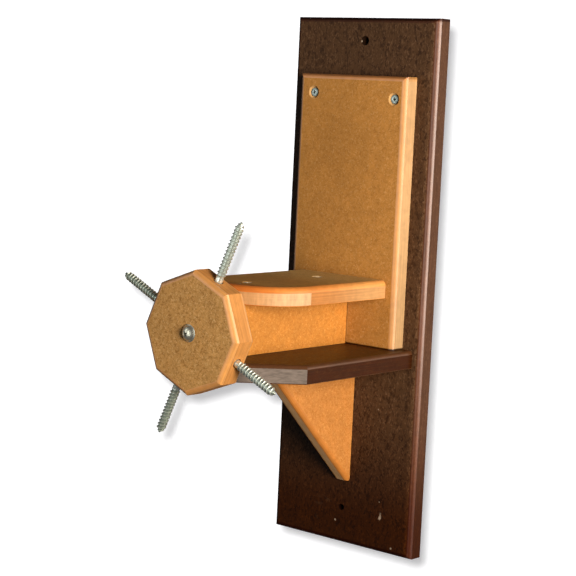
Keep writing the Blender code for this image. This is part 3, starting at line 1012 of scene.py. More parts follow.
def settle(name: str, bm: bmesh.types.BMesh, place: Matrix, material: bpy.types.Material,
           body: Body, nodes: Sequence[str],
           normals: Optional[list[Vector]] = None) -> bpy.types.Object:
    """Make a finished piece in the frame's axes and hand it to its CAD body.

    Args:
        name (str): the piece's name.
        bm (bmesh.types.BMesh): its mesh in local axes.
        place (Matrix): local to frame.
        material (bpy.types.Material): its finish.
        body (Body): what it rides on.
        nodes (Sequence[str]): CAD nodes that it stands for.
        normals (Optional[list[Vector]]): local normals of the loops, in face order.

    Returns:
        bpy.types.Object: the piece.
    """
    bm.transform(place)
    for face in bm.faces:
        face.smooth = True
        face.material_index = 0
    item = mesh_object(name, bm)
    item.data.materials.append(material)
    if normals is None:
        item.data.set_sharp_from_angle(angle=SHARP_ANGLE)
    else:
        turn = place.to_3x3()
        item.data.normals_split_custom_set([tuple(turn @ n) for n in normals])
    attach(item, body.value)
    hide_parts(*nodes)
    LOG.info("%s: %d faces on %s", name, len(item.data.polygons), body.value)
    return item


# Bores and screws


@dataclass(frozen=True)
class Bore:
    """A turned hole, placed in the frame's axes with its mouth toward local +Z."""

    profile: tuple[Point, ...]
    place: Matrix
    sides: int = 40

    def cutter(self, board_place: Matrix) -> bmesh.types.BMesh:
        """Return the hole's solid in a board's own axes.

        Args:
            board_place (Matrix): the board's axes to the frame's.

        Returns:
            bmesh.types.BMesh: the closed cutter.
        """
        bm = turned(self.profile, self.sides)
        bm.transform(board_place.inverted() @ self.place)
        bmesh.ops.recalc_face_normals(bm, faces=bm.faces[:])
        return bm


@dataclass(frozen=True)
class ThreadSize:
    """Sizes of a thread's ridge, and how it fades in and out."""

    pitch: float
    root_width: float
    crest_width: float
    run_in: float
    run_out: float
    steps: int
    sunk_share: float = 0.35
    sweep_radius: float = 10.0
    end_share: float = 0.05
    least_share: float = 0.02


@dataclass
class Thread:
    """A helical ridge on a core whose radius may change along its length."""

    size: ThreadSize
    start: float
    end: float
    height: float
    core: Callable[[float], float]

    def ridge(self) -> bmesh.types.BMesh:
        """Sweep the ridge by a screw spin and fit it to the core.

        Returns:
            bmesh.types.BMesh: a closed helical ridge.
        """
        size = self.size
        bm = bmesh.new()
        inner = -size.sunk_share * self.height
        section = [(inner, -size.root_width / 2), (self.height, -size.crest_width / 2),
                   (self.height, size.crest_width / 2), (inner, size.root_width / 2)]
        base = size.sweep_radius
        points = [bm.verts.new((base + r, 0, self.start + z)) for r, z in section]
        loop = [bm.edges.new(p) for p in zip(points, points[1:] + points[:1])]
        turns = (self.end - self.start) / size.pitch
        count = max(3, round(turns * size.steps))
        swept = bmesh.ops.spin(bm, geom=points + loop, cent=(0, 0, 0), axis=(0, 0, 1),
                               dvec=(0, 0, (self.end - self.start) / count),
                               angle=2 * pi * turns, steps=count)
        last = [e for e in swept["geom_last"] if isinstance(e, bmesh.types.BMEdge)]
        bmesh.ops.edgeloop_fill(bm, edges=loop)
        bmesh.ops.edgeloop_fill(bm, edges=last)
        for vert in bm.verts:
            radius = hypot(vert.co.x, vert.co.y)
            height = vert.co.z
            fade = min(1.0, (height - self.start) / size.run_in + size.end_share,
                       (self.end - height) / size.run_out + size.end_share)
            fade = max(size.least_share, fade)
            fitted = self.core(height) + (radius - base) * fade
            vert.co.x *= fitted / radius
            vert.co.y *= fitted / radius
        bmesh.ops.recalc_face_normals(bm, faces=bm.faces[:])
        return bm


def join(first: bmesh.types.BMesh, second: bmesh.types.BMesh) -> bmesh.types.BMesh:
    """Add one bmesh to another.

    Args:
        first (bmesh.types.BMesh): grown and returned.
        second (bmesh.types.BMesh): freed afterwards.

    Returns:
        bmesh.types.BMesh: both.
    """
    mesh = bpy.data.meshes.new("joining")
    second.to_mesh(mesh)
    second.free()
    first.from_mesh(mesh)
    bpy.data.meshes.remove(mesh)
    return first


def stamp_shade(item: bpy.types.Object, measure: Callable[[Vector], float]) -> None:
    """Store each point's painted shade in the depth attribute, mostly from how deep it lies in a
    thread or a recess.
    """
    stamp = item.data.attributes.new("depth", "FLOAT", "POINT")
    stamp.data.foreach_set("value", [measure(v.co) for v in item.data.vertices])


@dataclass(frozen=True)
class CrossRecess:
    """A cross-shaped drive recess that narrows toward its floor."""

    span: float
    width: float
    depth: float
    floor_share: float = 0.42
    overrun_share: float = 0.4

    def cutter(self, top: float) -> bmesh.types.BMesh:
        """Make the tapered cross, running past its mouth.

        Args:
            top (float): height of the mouth.

        Returns:
            bmesh.types.BMesh: the closed cutter.
        """
        long, short = self.span / 2, self.width / 2
        corner = [(long, -short), (long, short), (short, short)]
        outline = []
        for quarter in range(4):
            turn = Matrix.Rotation(quarter * pi / 2, 2)
            outline += [tuple(turn @ Vector(p)) for p in corner]
        bm = plate(outline, self.depth * (1 + self.overrun_share), top - self.depth)
        for vert in bm.verts:
            if vert.co.z < top - self.depth / 2:
                vert.co.x *= self.floor_share
                vert.co.y *= self.floor_share
        bmesh.ops.recalc_face_normals(bm, faces=bm.faces[:])
        return bm


@dataclass(frozen=True)
class WoodScrewSize:
    """Sizes that all countersunk wood screws share."""

    head: float = 4.7 * MM
    rim: float = 0.5 * MM
    radius: float = 2.4 * MM
    neck: float = 1.8 * MM
    neck_length: float = 9.0 * MM
    point: float = 5.0 * MM
    lip: float = 0.18 * MM
    sides: int = 40
    root_share: float = 0.66
    blunt_share: float = 0.06
    thread_start: float = 0.6 * MM
    thread: ThreadSize = ThreadSize(pitch=2.1 * MM, root_width=0.9 * MM, crest_width=0.14 * MM,
                                    run_in=3.0 * MM, run_out=2.0 * MM, steps=18)
    recess: CrossRecess = CrossRecess(span=5.6 * MM, width=1.6 * MM, depth=2.3 * MM)
    # painted shade in the cross recess, and a painted dark ring round the rim of the head
    shade_low: float = 2.4 * MM
    shade_radius: float = 3.1 * MM
    shade_fade: float = 0.6 * MM
    rim_width: float = 0.3 * MM
    rim_shade: float = 0.7


SIZE = WoodScrewSize()


@dataclass
class WoodScrew:
    """A countersunk screw with a cross recess and a thread."""

    node: str
    head: tuple[float, float, float]
    facing: Facing
    length: float
    sink: float = 0.4 * MM
    turn: float = 0.4
    finish: MetalFinish = SCREW

    @property
    def place(self) -> Matrix:
        """Local to frame, with the head's top at z = 0."""
        return (Matrix.Translation(self.head) @ self.facing.turn()
                @ Matrix.Translation((0, 0, -self.sink)))

    def bore(self) -> Bore:
        """Return the countersunk hole that it sits in.

        Returns:
            Bore: the same cone and shank as the CAD part's.
        """
        narrow = SIZE.radius + SEAT_GAP
        wide = SIZE.head + SIZE.rim + SEAT_GAP * sqrt(2)
        low = -self.length - BORE_BOTTOM_GAP
        return Bore(((0, OVERRUN), (wide + OVERRUN, OVERRUN), (narrow, narrow - wide),
                     (narrow, low + SIZE.point), (0, low)), self.place)

    def core(self, height: float) -> float:
        """Return the core's radius at a height."""
        share = max(SIZE.blunt_share, (height + self.length) / SIZE.point)
        return SIZE.radius * SIZE.root_share * min(1.0, share)

    def build(self, shop: Workshop) -> bpy.types.Object:
        """Build the screw.

        Args:
            shop (Workshop): where materials are made.

        Returns:
            bpy.types.Object: the piece.
        """
        cone = -SIZE.rim - (SIZE.head - SIZE.neck)
        neck_end = cone - SIZE.neck_length
        lip = SIZE.lip
        body = [(0, 0), (SIZE.head - lip, 0), (SIZE.head, -lip), (SIZE.head, -SIZE.rim),
                (SIZE.neck, cone), (SIZE.neck, neck_end), (self.core(neck_end), neck_end - lip),
                (self.core(0), SIZE.point - self.length), (0, -self.length)]
        holder = mesh_object(self.node + "_body", turned(body, SIZE.sides))
        bm = carve(holder, [SIZE.recess.cutter(0.0)])
        thread = Thread(SIZE.thread, start=-self.length + SIZE.thread_start, end=neck_end,
                        height=SIZE.radius * (1 - SIZE.root_share), core=self.core)
        bm = join(bm, thread.ridge())
        bm.transform(Matrix.Rotation(self.turn, 4, "Z"))
        item = settle(self.node, bm, self.place, shop.metal(self.finish), Body.FRAME,
                      [self.node])
        back = self.place.inverted()
        stamp_shade(item, lambda p: self.depth(back @ p))
        return item

    def depth(self, point: Vector) -> float:
        """Return the painted shade at a local point: by its depth in the recess, and on the
        head's rim.

        Args:
            point (Vector): in the screw's own axes.

        Returns:
            float: 0 at the head's top, 1 at the recess floor, and the rim's shade on the head's
                rim.
        """
        away = hypot(point.x, point.y)
        if point.z < -SIZE.shade_low or away > SIZE.shade_radius:
            return SIZE.rim_shade if away > SIZE.head - SIZE.rim_width else 0.0
        return min(1.0, max(0.0, -point.z / SIZE.shade_fade))


# Boards


@dataclass
class Board:
    """A plate with routed rims, bores and a grain map."""

    node: str
    outline: list[Point]
    place: Matrix
    finish: BoardFinish
    slot: Slot
    body: Body = Body.FRAME
    thickness: float = STOCK
    base: float = 0.0
    top_round: float = 0.0
    low_round: float = 0.0
    plain: Callable[[Vector], bool] = lambda middle: False
    sawn: Callable[[Vector, Vector], bool] = lambda middle, outward: False
    nose: Optional[tuple[float, float, float]] = None
    trims: Sequence[tuple] = ()
    bores: Sequence[Bore] = ()
    marks: Sequence[Mark] = ()
    steps: int = 9

    @property
    def top(self) -> float:
        """Height of the upper face."""
        return self.base + self.thickness

    def shape(self) -> bmesh.types.BMesh:
        """Build the plate, its rounds, its trims and its bores.

        Returns:
            bmesh.types.BMesh: the solid in local axes.
        """
        bm = plate(self.outline, self.thickness, self.base)
        for height, radius in ((self.top, self.top_round), (self.base, self.low_round)):
            if radius > 0:
                bmesh.ops.bevel(bm, geom=self.rim(bm, height), offset=radius,
                                segments=self.steps, profile=0.5, affect="EDGES", material=-1)
        for point, normal in self.trims:
            cut = bmesh.ops.bisect_plane(bm, geom=bm.verts[:] + bm.edges[:] + bm.faces[:],
                                         plane_co=point, plane_no=normal, clear_outer=True)
            edges = [e for e in cut["geom_cut"] if isinstance(e, bmesh.types.BMEdge)]
            bmesh.ops.edgeloop_fill(bm, edges=edges)
        bmesh.ops.recalc_face_normals(bm, faces=bm.faces[:])
        if self.bores:
            item = mesh_object(self.node + "_blank", bm)
            bm = carve(item, [bore.cutter(self.place) for bore in self.bores])
        bm.faces.ensure_lookup_table()
        bm.faces.index_update()
        bm.normal_update()
        return bm

    def rim(self, bm: bmesh.types.BMesh, height: float) -> list:
        """Return the rim edges at one height that the router followed.

        Args:
            bm (bmesh.types.BMesh): the plate.
            height (float): local z of the rim.

        Returns:
            list: edges.
        """
        found = []
        for edge in bm.edges:
            level = all(abs(v.co.z - height) < LEVEL for v in edge.verts)
            if level and not self.plain((edge.verts[0].co + edge.verts[1].co) / 2):
                found.append(edge)
        return found

    def zone_of(self, face: bmesh.types.BMFace) -> Zone:
        """Say what kind of surface a face is.

        Args:
            face (bmesh.types.BMFace): a face of the finished plate.

        Returns:
            Zone: its kind.
        """
        if face.material_index == 1:
            return Zone.BORE
        if abs(face.normal.z) > FLAT_LEAN:
            return Zone.FACE
        if abs(face.normal.z) > UPRIGHT_LEAN:
            return Zone.ROUND
        middle = face.calc_center_median()
        return Zone.SAWN if self.sawn(middle, face.normal) else Zone.SIDE

    def outward(self, face: bmesh.types.BMFace, point: Vector) -> Vector:
        """Return the level direction out of the board at a point.

        Args:
            face (bmesh.types.BMFace): the face that the point is on.
            point (Vector): a corner of the face.

        Returns:
            Vector: a unit vector with no z.
        """
        middle = face.calc_center_median()
        if self.nose and middle.y < self.nose[1]:
            return Vector((point.x - self.nose[0], point.y - self.nose[1], 0)).normalized()
        return Vector((face.normal.x, face.normal.y, 0)).normalized()

    def surface(self, zone: Zone, face: bmesh.types.BMFace, point: Vector) -> tuple:
        """Return the true normal and the grain coordinate at a corner.

        Args:
            zone (Zone): the face's kind.
            face (bmesh.types.BMFace): the face.
            point (Vector): the corner.

        Returns:
            tuple: the normal, and the distance along and across the grain.
        """
        if zone in (Zone.FACE, Zone.BORE):
            return face.normal.copy(), (point.x, point.y)
        out = self.outward(face, point)
        along = point.x * -out.y + point.y * out.x
        if self.nose and face.calc_center_median().y < self.nose[1]:
            along = self.nose[2] * atan2(out.y, out.x)
        quarter = self.top_round * pi / 2
        if zone is not Zone.ROUND:
            return out, (along, quarter + self.top - self.top_round - point.z)
        if face.normal.z > 0:
            rise = min(1.0, max(0.0, (point.z - self.top) / self.top_round + 1))
            turn = asin(rise)
            across = quarter - turn * self.top_round
        else:
            rise = min(1.0, max(0.0, (self.base - point.z) / self.low_round + 1))
            turn = -asin(rise)
            across = quarter + self.thickness - self.top_round - turn * self.low_round
        return out * cos(turn) + Vector((0, 0, sin(turn))), (along, across)

    def build(self, shop: Workshop) -> bpy.types.Object:
        """Build the board with its zones, normals and grain map.

        Args:
            shop (Workshop): where materials are made.

        Returns:
            bpy.types.Object: the piece.
        """
        bm = self.shape()
        zones = [self.zone_of(face) for face in bm.faces]
        grain = bm.loops.layers.uv.new("grain")
        normals = []
        for face, zone in zip(bm.faces, zones):
            for loop in face.loops:
                normal, place = self.surface(zone, face, loop.vert.co)
                loop[grain].uv = place
                normals.append(normal)
        item = settle(self.node, bm, self.place, shop.board(self.finish, self.marks), self.body,
                      [self.node], normals)
        stamp = item.data.attributes.new("zone", "FLOAT", "FACE")
        stamp.data.foreach_set("value", [float(zone.value) for zone in zones])
        return item


# The feeder's parts


def front_place(y: float, z: float) -> Matrix:
    """Place an upright board that faces the front."""
    return Matrix.Translation((0, y, z)) @ Facing.FRONT.turn()


def side_place(y: float, z: float) -> Matrix:
    """Place an upright board that stands on the centre line."""
    return Matrix.Translation((0, y, z)) @ Facing.LEFT.turn()


@dataclass(frozen=True)
class Extent:
    """Opposite corners of a CAD node's box."""

    low: Vector
    high: Vector


@dataclass
class Layout:
    """Boxes of the feeder's boards, read from the CAD part."""

    back: Extent = field(default_factory=lambda: Extent(*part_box("back_board")))
    panel: Extent = field(default_factory=lambda: Extent(*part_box("upper_panel")))
    seat: Extent = field(default_factory=lambda: Extent(*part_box("lower_shelf")))
    shelf: Extent = field(default_factory=lambda: Extent(*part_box("upper_shelf")))
    web: Extent = field(default_factory=lambda: Extent(*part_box("centre_web")))
    brace: Extent = field(default_factory=lambda: Extent(*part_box("brace")))
    wheel: Extent = field(default_factory=lambda: Extent(*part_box("wheel")))

    @property
    def axle(self) -> Vector:
        """Middle of the wheel."""
        low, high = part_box("washer")
        return Vector((0, (self.wheel.low.y + self.wheel.high.y) / 2, (low.z + high.z) / 2))


@dataclass
class ScrewSet:
    """Every wood screw, by the boards that it passes."""

    layout: Layout
    short: float = 31.75 * MM
    middle: float = 41.3 * MM
    long: float = 63.5 * MM
    left_spot: Point = (-51.7 * MM, 204.6 * MM)
    right_spot: Point = (56.6 * MM, 200.9 * MM)
    panel_sink: float = 1.2 * MM
    shelf_front: float = 29.2 * MM
    shelf_rear: float = 41.3 * MM
    under_web: float = 67.0 * MM
    brace_front: float = 96.0 * MM
    brace_rear: float = 40.0 * MM
    seat_side: float = 29.0 * MM
    web_end: float = 15.0 * MM
    brace_upper: float = 29.0 * MM
    brace_lower: float = 89.0 * MM

    def all(self) -> dict[str, WoodScrew]:
        """List the screws.

        Returns:
            dict[str, WoodScrew]: screws by CAD node.
        """
        lay = self.layout
        screws = []
        for node, (x, z), turn in (("panel_screw_left", self.left_spot, 0.15),
                                   ("panel_screw_right", self.right_spot, -0.1)):
            screws.append(WoodScrew(node, (x, lay.panel.low.y, z), Facing.FRONT, self.short,
                                    sink=self.panel_sink, turn=turn))
        for node, y, turn in (("shelf_screw_front", lay.shelf.low.y + self.shelf_front, 0.5),
                              ("shelf_screw_rear", lay.shelf.high.y - self.shelf_rear, 0.2)):
            screws.append(WoodScrew(node, (0, y, lay.shelf.high.z), Facing.UP, self.middle,
                                    turn=turn, finish=SHELF_SCREW_SHEEN))
        under = (0, lay.seat.low.y + self.under_web, lay.seat.low.z)
        screws.append(WoodScrew("web_screw_under", under, Facing.DOWN, self.middle))
        for node, inset in (("brace_screw_front", self.brace_front),
                            ("brace_screw_rear", self.brace_rear)):
            top = (0, lay.seat.high.y - inset, lay.seat.high.z)
            screws.append(WoodScrew(node, top, Facing.UP, self.middle))
        side = lay.seat.high.x - self.seat_side
        level = (lay.seat.low.z + lay.seat.high.z) / 2
        behind = (("web_screw_upper", 0, lay.web.high.z - self.web_end, self.long, 0.3),
                  ("web_screw_lower", 0, lay.web.low.z + self.web_end, self.long, 0.9),
                  ("seat_screw_left", -side, level, self.middle, 0.1),
                  ("seat_screw_right", side, level, self.middle, 0.7),
                  ("brace_screw_upper", 0, lay.brace.high.z - self.brace_upper, self.middle, 0.5),
                  ("brace_screw_lower", 0, lay.brace.high.z - self.brace_lower, self.middle, 1.2))
        for node, x, z, length, turn in behind:
            screws.append(WoodScrew(node, (x, 0, z), Facing.BACK, length, turn=turn))
        return {screw.node: screw for screw in screws}


# Scuffs near the back board's foot: x and z, reach and strength, lengths in millimetres
FOOT_SPOTS = ((-7.9, -261.6, 1.6, 0.7), (51.4, -230.7, 0.9, 0.5), (52.9, -248.6, 2.4, 0.6),
              (70.1, -278.2, 1.6, 0.6), (43.7, -130.6, 0.9, 0.4))


@dataclass
class BoardSet:
    """The six boards of the fixed frame."""

    layout: Layout
    screws: dict[str, WoodScrew]
    hang_radius: float = 2.75 * MM
    upper_hang: float = 24.45 * MM
    upper_sink: float = 5.0 * MM
    lower_hang: float = 39.65 * MM
    lower_sink: float = 3.6 * MM
    seat_clip: float = 52.0 * MM
    seat_round: float = 4.0 * MM
    clip_lean: float = 0.2
    shelf_round: float = 6.0 * MM
    nose_steps: int = 48
    brace_tip: float = 3.5 * MM
    brace_spare: float = 40.0 * MM
    slope_reach: float = 1.0 * MM
    scratch_marks: int = 8
    scratch_top: Point = (-24.6 * MM, 155.0 * MM)
    scratch_step: Point = (0.62 * MM, -3.8 * MM)

    def bores(self, *nodes: str) -> list[Bore]:
        """Return the bores of some screws."""
        return [self.screws[node].bore() for node in nodes]

    def hang_bore(self, height: float, sink: float) -> Bore:
        """Return a countersunk through hole in the back board.

        Args:
            height (float): z of its axis.
            sink (float): the countersink's radius at the face.

        Returns:
            Bore: the hole.
        """
        foot = -STOCK - OVERRUN
        profile = ((0, OVERRUN), (sink + OVERRUN, OVERRUN),
                   (self.hang_radius, self.hang_radius - sink), (self.hang_radius, foot),
                   (0, foot))
        return Bore(profile, front_place(self.layout.back.low.y, height))

    def back_board(self) -> Board:
        """Return the back board.

        Returns:
            Board: dark, rounded all round its front.
        """
        lay = self.layout
        half = lay.back.high.x
        low, high = lay.back.low.z, lay.back.high.z
        outline = [(-half, low), (half, low), (half, high), (-half, high)]
        holes = [self.hang_bore(high - self.upper_hang, self.upper_sink),
                 self.hang_bore(low + self.lower_hang, self.lower_sink)]
        face = lay.back.low.y
        marks = [Mark(centre=(x * MM, face, z * MM), reach=(reach * MM,) * 3, strength=strength)
                 for x, z, reach, strength in FOOT_SPOTS]
        marks.append(Mark(centre=(53.6 * MM, face, -245.8 * MM),
                          reach=(1.9 * MM, 2.0 * MM, 4.4 * MM), strength=0.42))
        marks.append(Mark(centre=(-4.9 * MM, face, 260.8 * MM),
                          reach=(0.9 * MM, 0.9 * MM, 1.4 * MM), strength=0.6))
        return Board("back_board", outline, front_place(0, 0), BROWN, Slot.BROWN,
                     top_round=ROUTED, marks=marks,
                     bores=holes + self.bores("panel_screw_left", "panel_screw_right",
                                              "web_screw_upper", "web_screw_lower",
                                              "seat_screw_left", "seat_screw_right",
                                              "brace_screw_upper", "brace_screw_lower"))

    def scratch(self, side: float) -> list[Mark]:
        """Return the marks of the slanting scratch on the panel's right edge.

        Args:
            side (float): x of that edge.

        Returns:
            list[Mark]: from its top to its foot.
        """
        marks = []
        for k in range(self.scratch_marks):
            centre = (side, self.scratch_top[0] + self.scratch_step[0] * k,
                      self.scratch_top[1] + self.scratch_step[1] * k)
            marks.append(Mark(centre=centre, reach=(1.0 * MM, 0.5 * MM, 1.5 * MM), strength=0.7))
        return marks

    def upper_panel(self) -> Board:
        """Return the panel above the seat.

        Returns:
            Board: tan, square at its foot.
        """
        lay = self.layout
        half = lay.panel.high.x
        tall = lay.panel.high.z - lay.panel.low.z
        outline = [(-half, 0), (half, 0), (half, tall), (-half, tall)]
        return Board("upper_panel", outline, front_place(lay.panel.high.y, lay.panel.low.z), TAN,
                     Slot.TAN, top_round=ROUTED, plain=lambda middle: middle.y < SEAT_GAP,
                     marks=self.scratch(half),
                     bores=self.bores("panel_screw_left", "panel_screw_right",
                                      "web_screw_upper", "web_screw_lower"))

    def lower_shelf(self) -> Board:
        """Return the seat with its clipped corners.

        Returns:
            Board: dark, rounded on top.
        """
        lay = self.layout
        half, clip = lay.seat.high.x, self.seat_clip
        back, front = lay.seat.high.y, lay.seat.low.y
        outline = [(half, back), (-half, back), (-half, front + clip), (-half + clip, front),
                   (half - clip, front), (half, front + clip)]
        return Board("lower_shelf", outline, Matrix.Translation((0, 0, lay.seat.low.z)), SEAT,
                     Slot.BROWN, top_round=self.seat_round, low_round=EASED,
                     plain=lambda middle: middle.y > back - SEAT_GAP,
                     sawn=lambda middle, out: min(abs(out.x), abs(out.y)) > self.clip_lean,
                     bores=self.bores("web_screw_under", "brace_screw_front", "brace_screw_rear",
                                      "seat_screw_left", "seat_screw_right"))

    def upper_shelf(self) -> Board:
        """Return the shelf with its half-round nose.

        Returns:
            Board: tan, rounded on top.
        """
        lay = self.layout
        half = lay.shelf.high.x
        back, centre = lay.shelf.high.y, lay.shelf.low.y + half
        turns = [pi + pi * k / self.nose_steps for k in range(self.nose_steps + 1)]
        outline = [(half, back), (-half, back)]
        outline += [(half * cos(t), centre + half * sin(t)) for t in turns]
        return Board("upper_shelf", outline, Matrix.Translation((0, 0, lay.shelf.low.z)), SHELF,
                     Slot.TAN, top_round=self.shelf_round, low_round=EASED,
                     plain=lambda middle: middle.y > back - SEAT_GAP,
                     sawn=lambda middle, out: middle.y < centre, nose=(0, centre, half),
                     bores=self.bores("shelf_screw_front", "shelf_screw_rear"))

    def centre_web(self) -> Board:
        """Return the web between the shelves.

        Returns:
            Board: tan, bored for the axle.
        """
        lay = self.layout
        depth = lay.web.high.y - lay.web.low.y
        tall = lay.web.high.z - lay.web.low.z
        outline = [(0, 0), (depth, 0), (depth, tall), (0, tall)]
        axle = Axle(lay)
        return Board("centre_web", outline, side_place(lay.web.high.y, lay.web.low.z), WEB,
                     Slot.TAN, base=-STOCK / 2,
                     bores=self.bores("web_screw_upper", "web_screw_lower", "web_screw_under",
                                      "shelf_screw_front", "shelf_screw_rear") + [axle.bore()])

    def brace(self) -> Board:
        """Return the triangular brace.

        Returns:
            Board: tan, with both long edges rounded.
        """
        lay = self.layout
        depth = lay.brace.high.y - lay.brace.low.y
        drop = lay.brace.high.z - lay.brace.low.z
        slope = Vector((depth - self.brace_tip, drop)).normalized()
        spare = self.brace_spare
        low = Vector((self.brace_tip, -drop)) - slope * spare
        high = Vector((depth, 0)) + slope * spare
        outline = [tuple(low), tuple(high), (-spare, high.y), (-spare, low.y)]
        trims = [((0, 0, 0), (0, 1, 0)), ((0, 0, 0), (-1, 0, 0)), ((0, -drop, 0), (0, -1, 0))]

        def off_slope(middle: Vector) -> bool:
            """Say whether an edge's middle is away from the sloping edge."""
            away = abs((middle.x - depth) * slope.y - middle.y * slope.x)
            return away > self.slope_reach

        return Board("brace", outline, side_place(lay.brace.high.y, lay.brace.high.z), BRACE,
                     Slot.TAN, base=-STOCK / 2, top_round=ROUTED, low_round=ROUTED,
                     plain=off_slope, trims=trims,
                     bores=self.bores("brace_screw_upper", "brace_screw_lower",
                                      "brace_screw_front", "brace_screw_rear"))

    def build(self, shop: Workshop) -> None:
        """Build all six boards.

        Args:
            shop (Workshop): where materials are made.
        """
        for board in (self.back_board(), self.upper_panel(), self.lower_shelf(),
                      self.upper_shelf(), self.centre_web(), self.brace()):
            board.build(shop)


@dataclass
class Axle:
    """The axle screw with its washer."""

    layout: Layout
    radius: float = 3.95 * MM
    length: float = 63.5 * MM
    point: float = 8.0 * MM
    flange: float = 8.8 * MM
    flange_thickness: float = 1.0 * MM
    dome: float = 7.6 * MM
    dome_steps: int = 14
    sides: int = 64
    lip: float = 0.2 * MM
    smooth: float = 30.0 * MM
    step: float = 0.6 * MM
    root_share: float = 0.72
    blunt_share: float = 0.05
    thread_start: float = 0.8 * MM
    thread: ThreadSize = ThreadSize(pitch=3.2 * MM, root_width=1.1 * MM, crest_width=0.2 * MM,
                                    run_in=4.0 * MM, run_out=3.0 * MM, steps=24)
    roll: float = 0.3
    recess: CrossRecess = CrossRecess(span=6.6 * MM, width=1.7 * MM, depth=3.0 * MM)
    # painted shade in the cross recess of the dome
    shade_low: float = 3.1 * MM
    shade_radius: float = 3.5 * MM
    shade_top: float = 0.5 * MM
    shade_fade: float = 2.0 * MM
    head_height: float = field(init=False)

    def __post_init__(self) -> None:
        """Read the domed head's height from the CAD part."""
        self.head_height = self.layout.wheel.low.y - SEAT_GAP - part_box("axle_screw")[0].y

    @property
    def place(self) -> Matrix:
        """Local to frame, with the underside of the head at z = 0."""
        return front_place(self.layout.wheel.low.y - SEAT_GAP, self.layout.axle.z)

    def bore(self) -> Bore:
        """Return the bore through the wheel and into the web.

        Returns:
            Bore: the bore.
        """
        radius = self.radius + SEAT_GAP
        low = -self.length - BORE_BOTTOM_GAP
        return Bore(((0, OVERRUN), (radius, OVERRUN), (radius, low + self.point), (0, low)),
                    self.place)

    def core(self, height: float) -> float:
        """Return the core's radius at a height."""
        share = max(self.blunt_share, (height + self.length) / self.point)
        return self.radius * self.root_share * min(1.0, share)

    def profile(self) -> list[Point]:
        """Outline the domed head, its flange, the smooth shank and the core.

        Returns:
            list[Point]: radii and heights, from the dome's top to the point.
        """
        rise = self.head_height - self.flange_thickness
        ball = (self.dome ** 2 + rise ** 2) / (2 * rise)
        low_turn = atan2(self.dome, ball - rise)
        turns = [low_turn * k / self.dome_steps for k in range(self.dome_steps + 1)]
        arc = [(ball * sin(turn), self.head_height - ball + ball * cos(turn)) for turn in turns]
        lip = self.lip
        flange = [(self.flange - lip, self.flange_thickness * 0.5),
                  (self.flange, self.flange_thickness * 0.3), (self.flange, lip),
                  (self.flange - lip, 0)]
        return arc + flange + [(self.radius, 0), (self.radius, -self.smooth),
                               (self.core(0), -self.smooth - self.step),
                               (self.core(0), self.point - self.length), (0, -self.length)]

    def build(self, shop: Workshop) -> None:
        """Build the screw and the washer.

        Args:
            shop (Workshop): where materials are made.
        """
        holder = mesh_object("axle_body", turned(self.profile(), self.sides))
        bm = carve(holder, [self.recess.cutter(self.head_height)])
        thread = Thread(self.thread, start=-self.length + self.thread_start, end=-self.smooth,
                        height=self.radius * (1 - self.root_share), core=self.core)
        bm = join(bm, thread.ridge())
        bm.transform(Matrix.Rotation(self.roll, 4, "Z"))
        item = settle("axle_screw", bm, self.place, shop.metal(AXLE), Body.FRAME,
                      ["axle_screw"])
        back = self.place.inverted()
        stamp_shade(item, lambda p: self.depth(back @ p))
        self.washer(shop)

    def depth(self, point: Vector) -> float:
        """Return the painted shade at a local point, by its depth in the recess.

        Args:
            point (Vector): in the screw's own axes.

        Returns:
            float: 0 outside and 1 at the floor.
        """
        below = self.head_height - point.z
        if below > self.shade_low or hypot(point.x, point.y) > self.shade_radius:
            return 0.0
        return min(1.0, max(0.0, (below - self.shade_top) / self.shade_fade))

    def washer(self, shop: Workshop) -> None:
        """Build the washer with eased edges.

        Args:
            shop (Workshop): where materials are made.
        """
        low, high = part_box("washer")
        outer = (high.z - low.z) / 2
        inner = self.radius + SEAT_GAP
        thick = high.y - low.y
        lip = self.lip
        profile = [(inner + lip, 0), (outer - lip, 0), (outer, lip), (outer, thick - lip),
                   (outer - lip, thick), (inner + lip, thick), (inner, thick - lip), (inner, lip)]
        bm = turned(profile, self.sides, closed=True)
        place = front_place(high.y, (low.z + high.z) / 2)
        item = settle("washer", bm, place, shop.metal(ZINC), Body.FRAME, ["washer"])
        stamp_shade(item, lambda p: 0.0)


